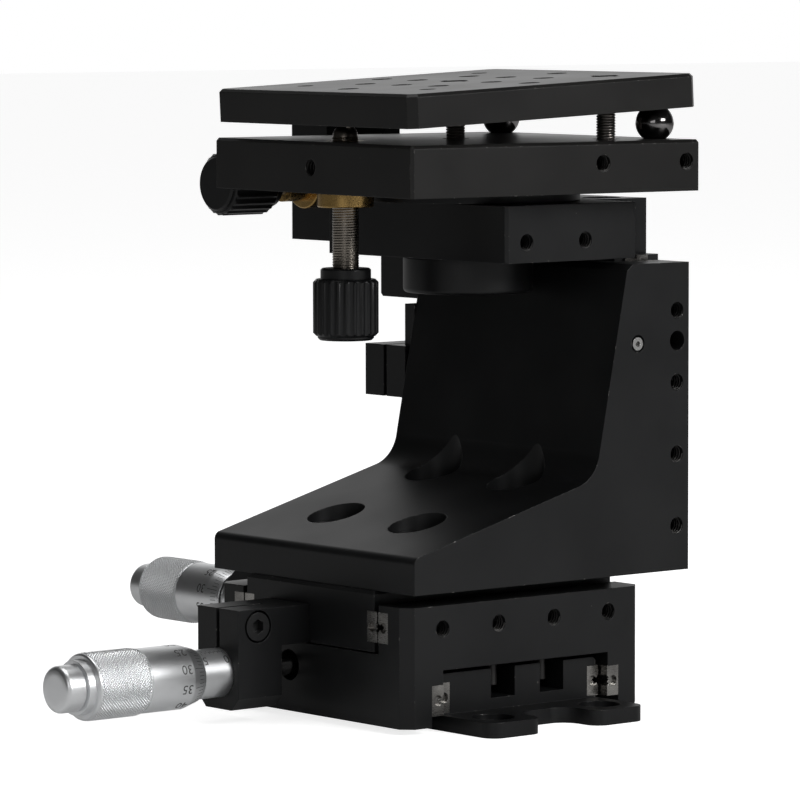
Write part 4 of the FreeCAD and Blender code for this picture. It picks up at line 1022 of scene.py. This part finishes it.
@dataclass
class Threads:
    """Thread crests in the mouths of the tapped holes. Sizes in metres, places of the mouths in mm."""

    finishes: Finishes
    radius: float = 1.65 * MM
    pitch: float = 0.7 * MM
    crest: float = 0.13 * MM
    depth: float = 2.8 * MM
    yaw: float = math.radians(-4.9)
    lead_in: float = 0.25 * MM
    plate: Vector = Vector((6.8 * MM, 0, 0))
    cross_x: tuple[float, ...] = (-21, -7, 7, 21)
    cross_y: float = -29.1
    cross_z: float = 19.8
    bracket_x: float = 37.8
    bracket_y: float = -30.4
    bracket_z: tuple[float, ...] = (35.6, 49.7, 63.8, 77.9)
    arm_x: tuple[float, ...] = (1.6, 16.6)
    arm_y: float = -27.3
    arm_z: float = 92.2
    plate_x: tuple[float, ...] = (10.6, 30.7)
    plate_half: float = 34.1
    plate_middle: float = 106.475
    plate_rise: float = 0.8

    def build(self) -> None:
        """Adds crests to the holes of each block that shows them."""
        back = Vector((0, 1, 0))
        cross = [Vector((x, self.cross_y, self.cross_z)) * MM for x in self.cross_x]
        self.row("cross_block_threads", "cross", cross, back)
        bracket = [Vector((self.bracket_x, self.bracket_y, z)) * MM for z in self.bracket_z]
        self.row("bracket_threads", "x_carriage", bracket, back)
        arm = [Vector((x, self.arm_y, self.arm_z)) * MM for x in self.arm_x]
        self.row("arm_threads", "lift", arm, back)
        turn = Matrix.Rotation(self.yaw, 3, "Z")
        height = self.plate_middle + self.plate_rise
        front = [self.plate + turn @ (Vector((x, -self.plate_half, height)) * MM) for x in self.plate_x]
        self.row("lower_plate_threads", "table", front, turn @ back)
        side = [self.plate + turn @ (Vector((-self.plate_half, 0, self.plate_middle)) * MM)]
        self.row("lower_plate_side_thread", "table", side, turn @ Vector((1, 0, 0)))

    def row(self, name: str, body: str, mouths: list[Vector], inward: Vector) -> None:
        """Threads of one block as one piece.

        Args:
            name: the piece's name.
            body: the body that it rides on.
            mouths: the middle of each hole in the block's face.
            inward: the way the holes run.
        """
        work = bmesh.new()
        for mouth in mouths:
            data = coil(self.radius - self.crest * 0.6, self.crest, self.depth, self.depth / self.pitch, 6)
            data.transform(along(inward, mouth + inward * self.lead_in))
            work.from_mesh(data)
            bpy.data.meshes.remove(data)
        whole = bpy.data.meshes.new(name)
        work.to_mesh(whole)
        work.free()
        hand_over(as_object(name, whole, self.finishes.thread, 60), body, Slot.BLACK)


@dataclass
class Hub:
    """The round cap under the arm."""

    finishes: Finishes
    edge: float = 0.9 * MM

    def build(self) -> None:
        """A turned cap with a rounded lower rim."""
        start, length = seat("hub_cap", Vector((0, 0, 1)))
        low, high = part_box("hub_cap")
        r = (high.x - low.x) / 2
        rim = [(self.edge * (1 - math.sin(t)), r - self.edge * (1 - math.cos(t)))
               for t in [math.radians(d) for d in (90, 75, 60, 45, 30, 15, 0)]]
        body = Turning(160).profile([*rim, (length, r)])
        piece = body.finish("hub_cap_turned", along(Vector((0, 0, 1)), start), self.finishes.block)
        hand_over(piece, "table", Slot.BLACK, "hub_cap")


@dataclass(frozen=True)
class Studio:
    """Floor, backdrop, lamps and the camera of the photograph. Sizes in metres."""

    eye: tuple[float, float, float] = (-0.63646, -0.76324, 0.14137)
    forward: tuple[float, float, float] = (0.63391, 0.76913, -0.08117)
    roll: float = math.radians(-0.109)
    lens: float = 229.28
    white: tuple[float, float, float, float] = (0.60, 0.60, 0.60, 1.0)
    glow: float = 0.80
    floor_half: float = 6.0
    backdrop: tuple[float, float] = (0.62, 0.97)
    front_level: float = 0.03
    plain_level: float = 0.22

    def build(self) -> None:
        """Builds the whole studio."""
        self.camera()
        self.floor()
        self.world()
        self.lamp("key_lamp", (0.25, -1.05, 0.60), 0.5, 10.0)
        self.lamp("fill_lamp", (-0.95, -0.75, 0.45), 0.6, 1.6)
        self.lamp("top_lamp", (0.05, 0.1, 1.1), 0.7, 4.0)

    def camera(self) -> None:
        """The camera at the photograph's viewing angle."""
        data = bpy.data.cameras.new("photo_camera")
        data.lens = self.lens
        data.sensor_width = 36.0
        data.clip_end = 20.0
        seen = bpy.data.objects.new("photo_camera", data)
        bpy.context.scene.collection.objects.link(seen)
        turn = Vector(self.forward).to_track_quat("-Z", "Y").to_matrix().to_4x4()
        seen.matrix_world = Matrix.Translation(self.eye) @ turn @ Matrix.Rotation(self.roll, 4, "Z")
        bpy.context.scene.camera = seen

    def floor(self) -> None:
        """A pale floor that shows white to the camera away from the object's shadow."""
        mesh = bmesh.new()
        bmesh.ops.create_grid(mesh, x_segments=1, y_segments=1, size=self.floor_half)
        data = bpy.data.meshes.new("floor")
        mesh.to_mesh(data)
        mesh.free()
        s = Shader("pale floor")
        s.bsdf.inputs["Base Color"].default_value = self.white
        s.bsdf.inputs["Roughness"].default_value = 0.9
        s.bsdf.inputs["Emission Color"].default_value = (1.0, 1.0, 1.0, 1.0)
        seen = s.node("ShaderNodeLightPath").outputs["Is Camera Ray"]
        s.put(s.bsdf.inputs["Emission Strength"], s.math("MULTIPLY", seen, self.glow))
        floor = bpy.data.objects.new("floor", data)
        data.materials.append(s.material)
        bpy.context.scene.collection.objects.link(floor)

    def world(self) -> None:
        """A surround that is white to the camera and behind the object, and darker in front of it."""
        world = bpy.data.worlds.new("studio")
        bpy.context.scene.world = world
        world.use_nodes = True
        tree = world.node_tree
        back = tree.nodes["Background"]
        back.inputs["Color"].default_value = (1.0, 1.0, 1.0, 1.0)
        place = tree.nodes.new("ShaderNodeTexCoord")
        dot = tree.nodes.new("ShaderNodeVectorMath")
        dot.operation = "DOT_PRODUCT"
        tree.links.new(place.outputs["Generated"], dot.inputs[0])
        dot.inputs[1].default_value = self.forward
        behind = self.spread(tree, dot.outputs["Value"], self.backdrop, (self.front_level, 1.0))
        path = tree.nodes.new("ShaderNodeLightPath")
        plain = self.spread(tree, path.outputs["Is Diffuse Ray"], (0.0, 1.0), (behind, self.plain_level))
        seen = self.spread(tree, path.outputs["Is Camera Ray"], (0.0, 1.0), (plain, 1.0))
        tree.links.new(seen, back.inputs["Strength"])

    def spread(self, tree: bpy.types.NodeTree, value: bpy.types.NodeSocket, span: tuple[float, float],
               to: tuple[object, float]) -> bpy.types.NodeSocket:
        """A clamped ramp.

        Args:
            tree: the world's nodes.
            value: what it follows.
            span: the values that it starts and ends at.
            to: its level at the start, a number or an output, and at the end.

        Returns:
            The level.
        """
        made = tree.nodes.new("ShaderNodeMapRange")
        tree.links.new(value, made.inputs["Value"])
        made.inputs["From Min"].default_value, made.inputs["From Max"].default_value = span
        if isinstance(to[0], bpy.types.NodeSocket):
            tree.links.new(to[0], made.inputs["To Min"])
        else:
            made.inputs["To Min"].default_value = to[0]
        made.inputs["To Max"].default_value = to[1]
        return made.outputs["Result"]

    def lamp(self, name: str, place: tuple[float, float, float], size: float, power: float) -> None:
        """A soft square lamp aimed at the middle of the stage.

        Args:
            name: the lamp's name.
            place: where it hangs.
            size: of its side.
            power: in watts.
        """
        data = bpy.data.lights.new(name, "AREA")
        data.shape = "SQUARE"
        data.size = size
        data.energy = power
        lamp = bpy.data.objects.new(name, data)
        bpy.context.scene.collection.objects.link(lamp)
        aim = Vector((0, 0, 0.06)) - Vector(place)
        lamp.matrix_world = Matrix.Translation(place) @ aim.to_track_quat("-Z", "Y").to_matrix().to_4x4()


def dress_nodes(finishes: Finishes) -> None:
    """Gives every CAD node its finish.

    Args:
        finishes: the materials.
    """
    slots = {entry["node"]: entry["material_slot"] for entry in frame["record"]["subparts"]}
    for name, piece in frame["nodes"].items():
        piece.data.materials.clear()
        piece.data.materials.append(finishes.for_node(name, slots[name]))
        log.info("dressed %s", name)


def main() -> None:
    """Builds the studio and dresses the stage, sub-assembly by sub-assembly."""
    logging.basicConfig(level=logging.INFO, format="%(name)s: %(message)s")
    bpy.context.scene.view_settings.view_transform = "Standard"
    Studio().build()
    finishes = Finishes()
    dress_nodes(finishes)
    heads = (("x", (-1, 0, 0), (0, -1, 0)), ("y", (0, 1, 0), (-1, 0, 0)), ("z", (0, 0, -1), (0, 1, 0)))
    for name, outward, facing in heads:
        Micrometer(name, Vector(outward), Vector(facing), finishes).build()
    AdjustingScrew("tilt", Vector((0, 0, 1)), finishes).build()
    AdjustingScrew("turn", Vector((1, 0, 0)), finishes).build()
    TiltJoint(finishes).build()
    ReturnSprings(finishes).build()
    Threads(finishes).build()
    Hub(finishes).build()


if __name__ == "__main__":
    main()
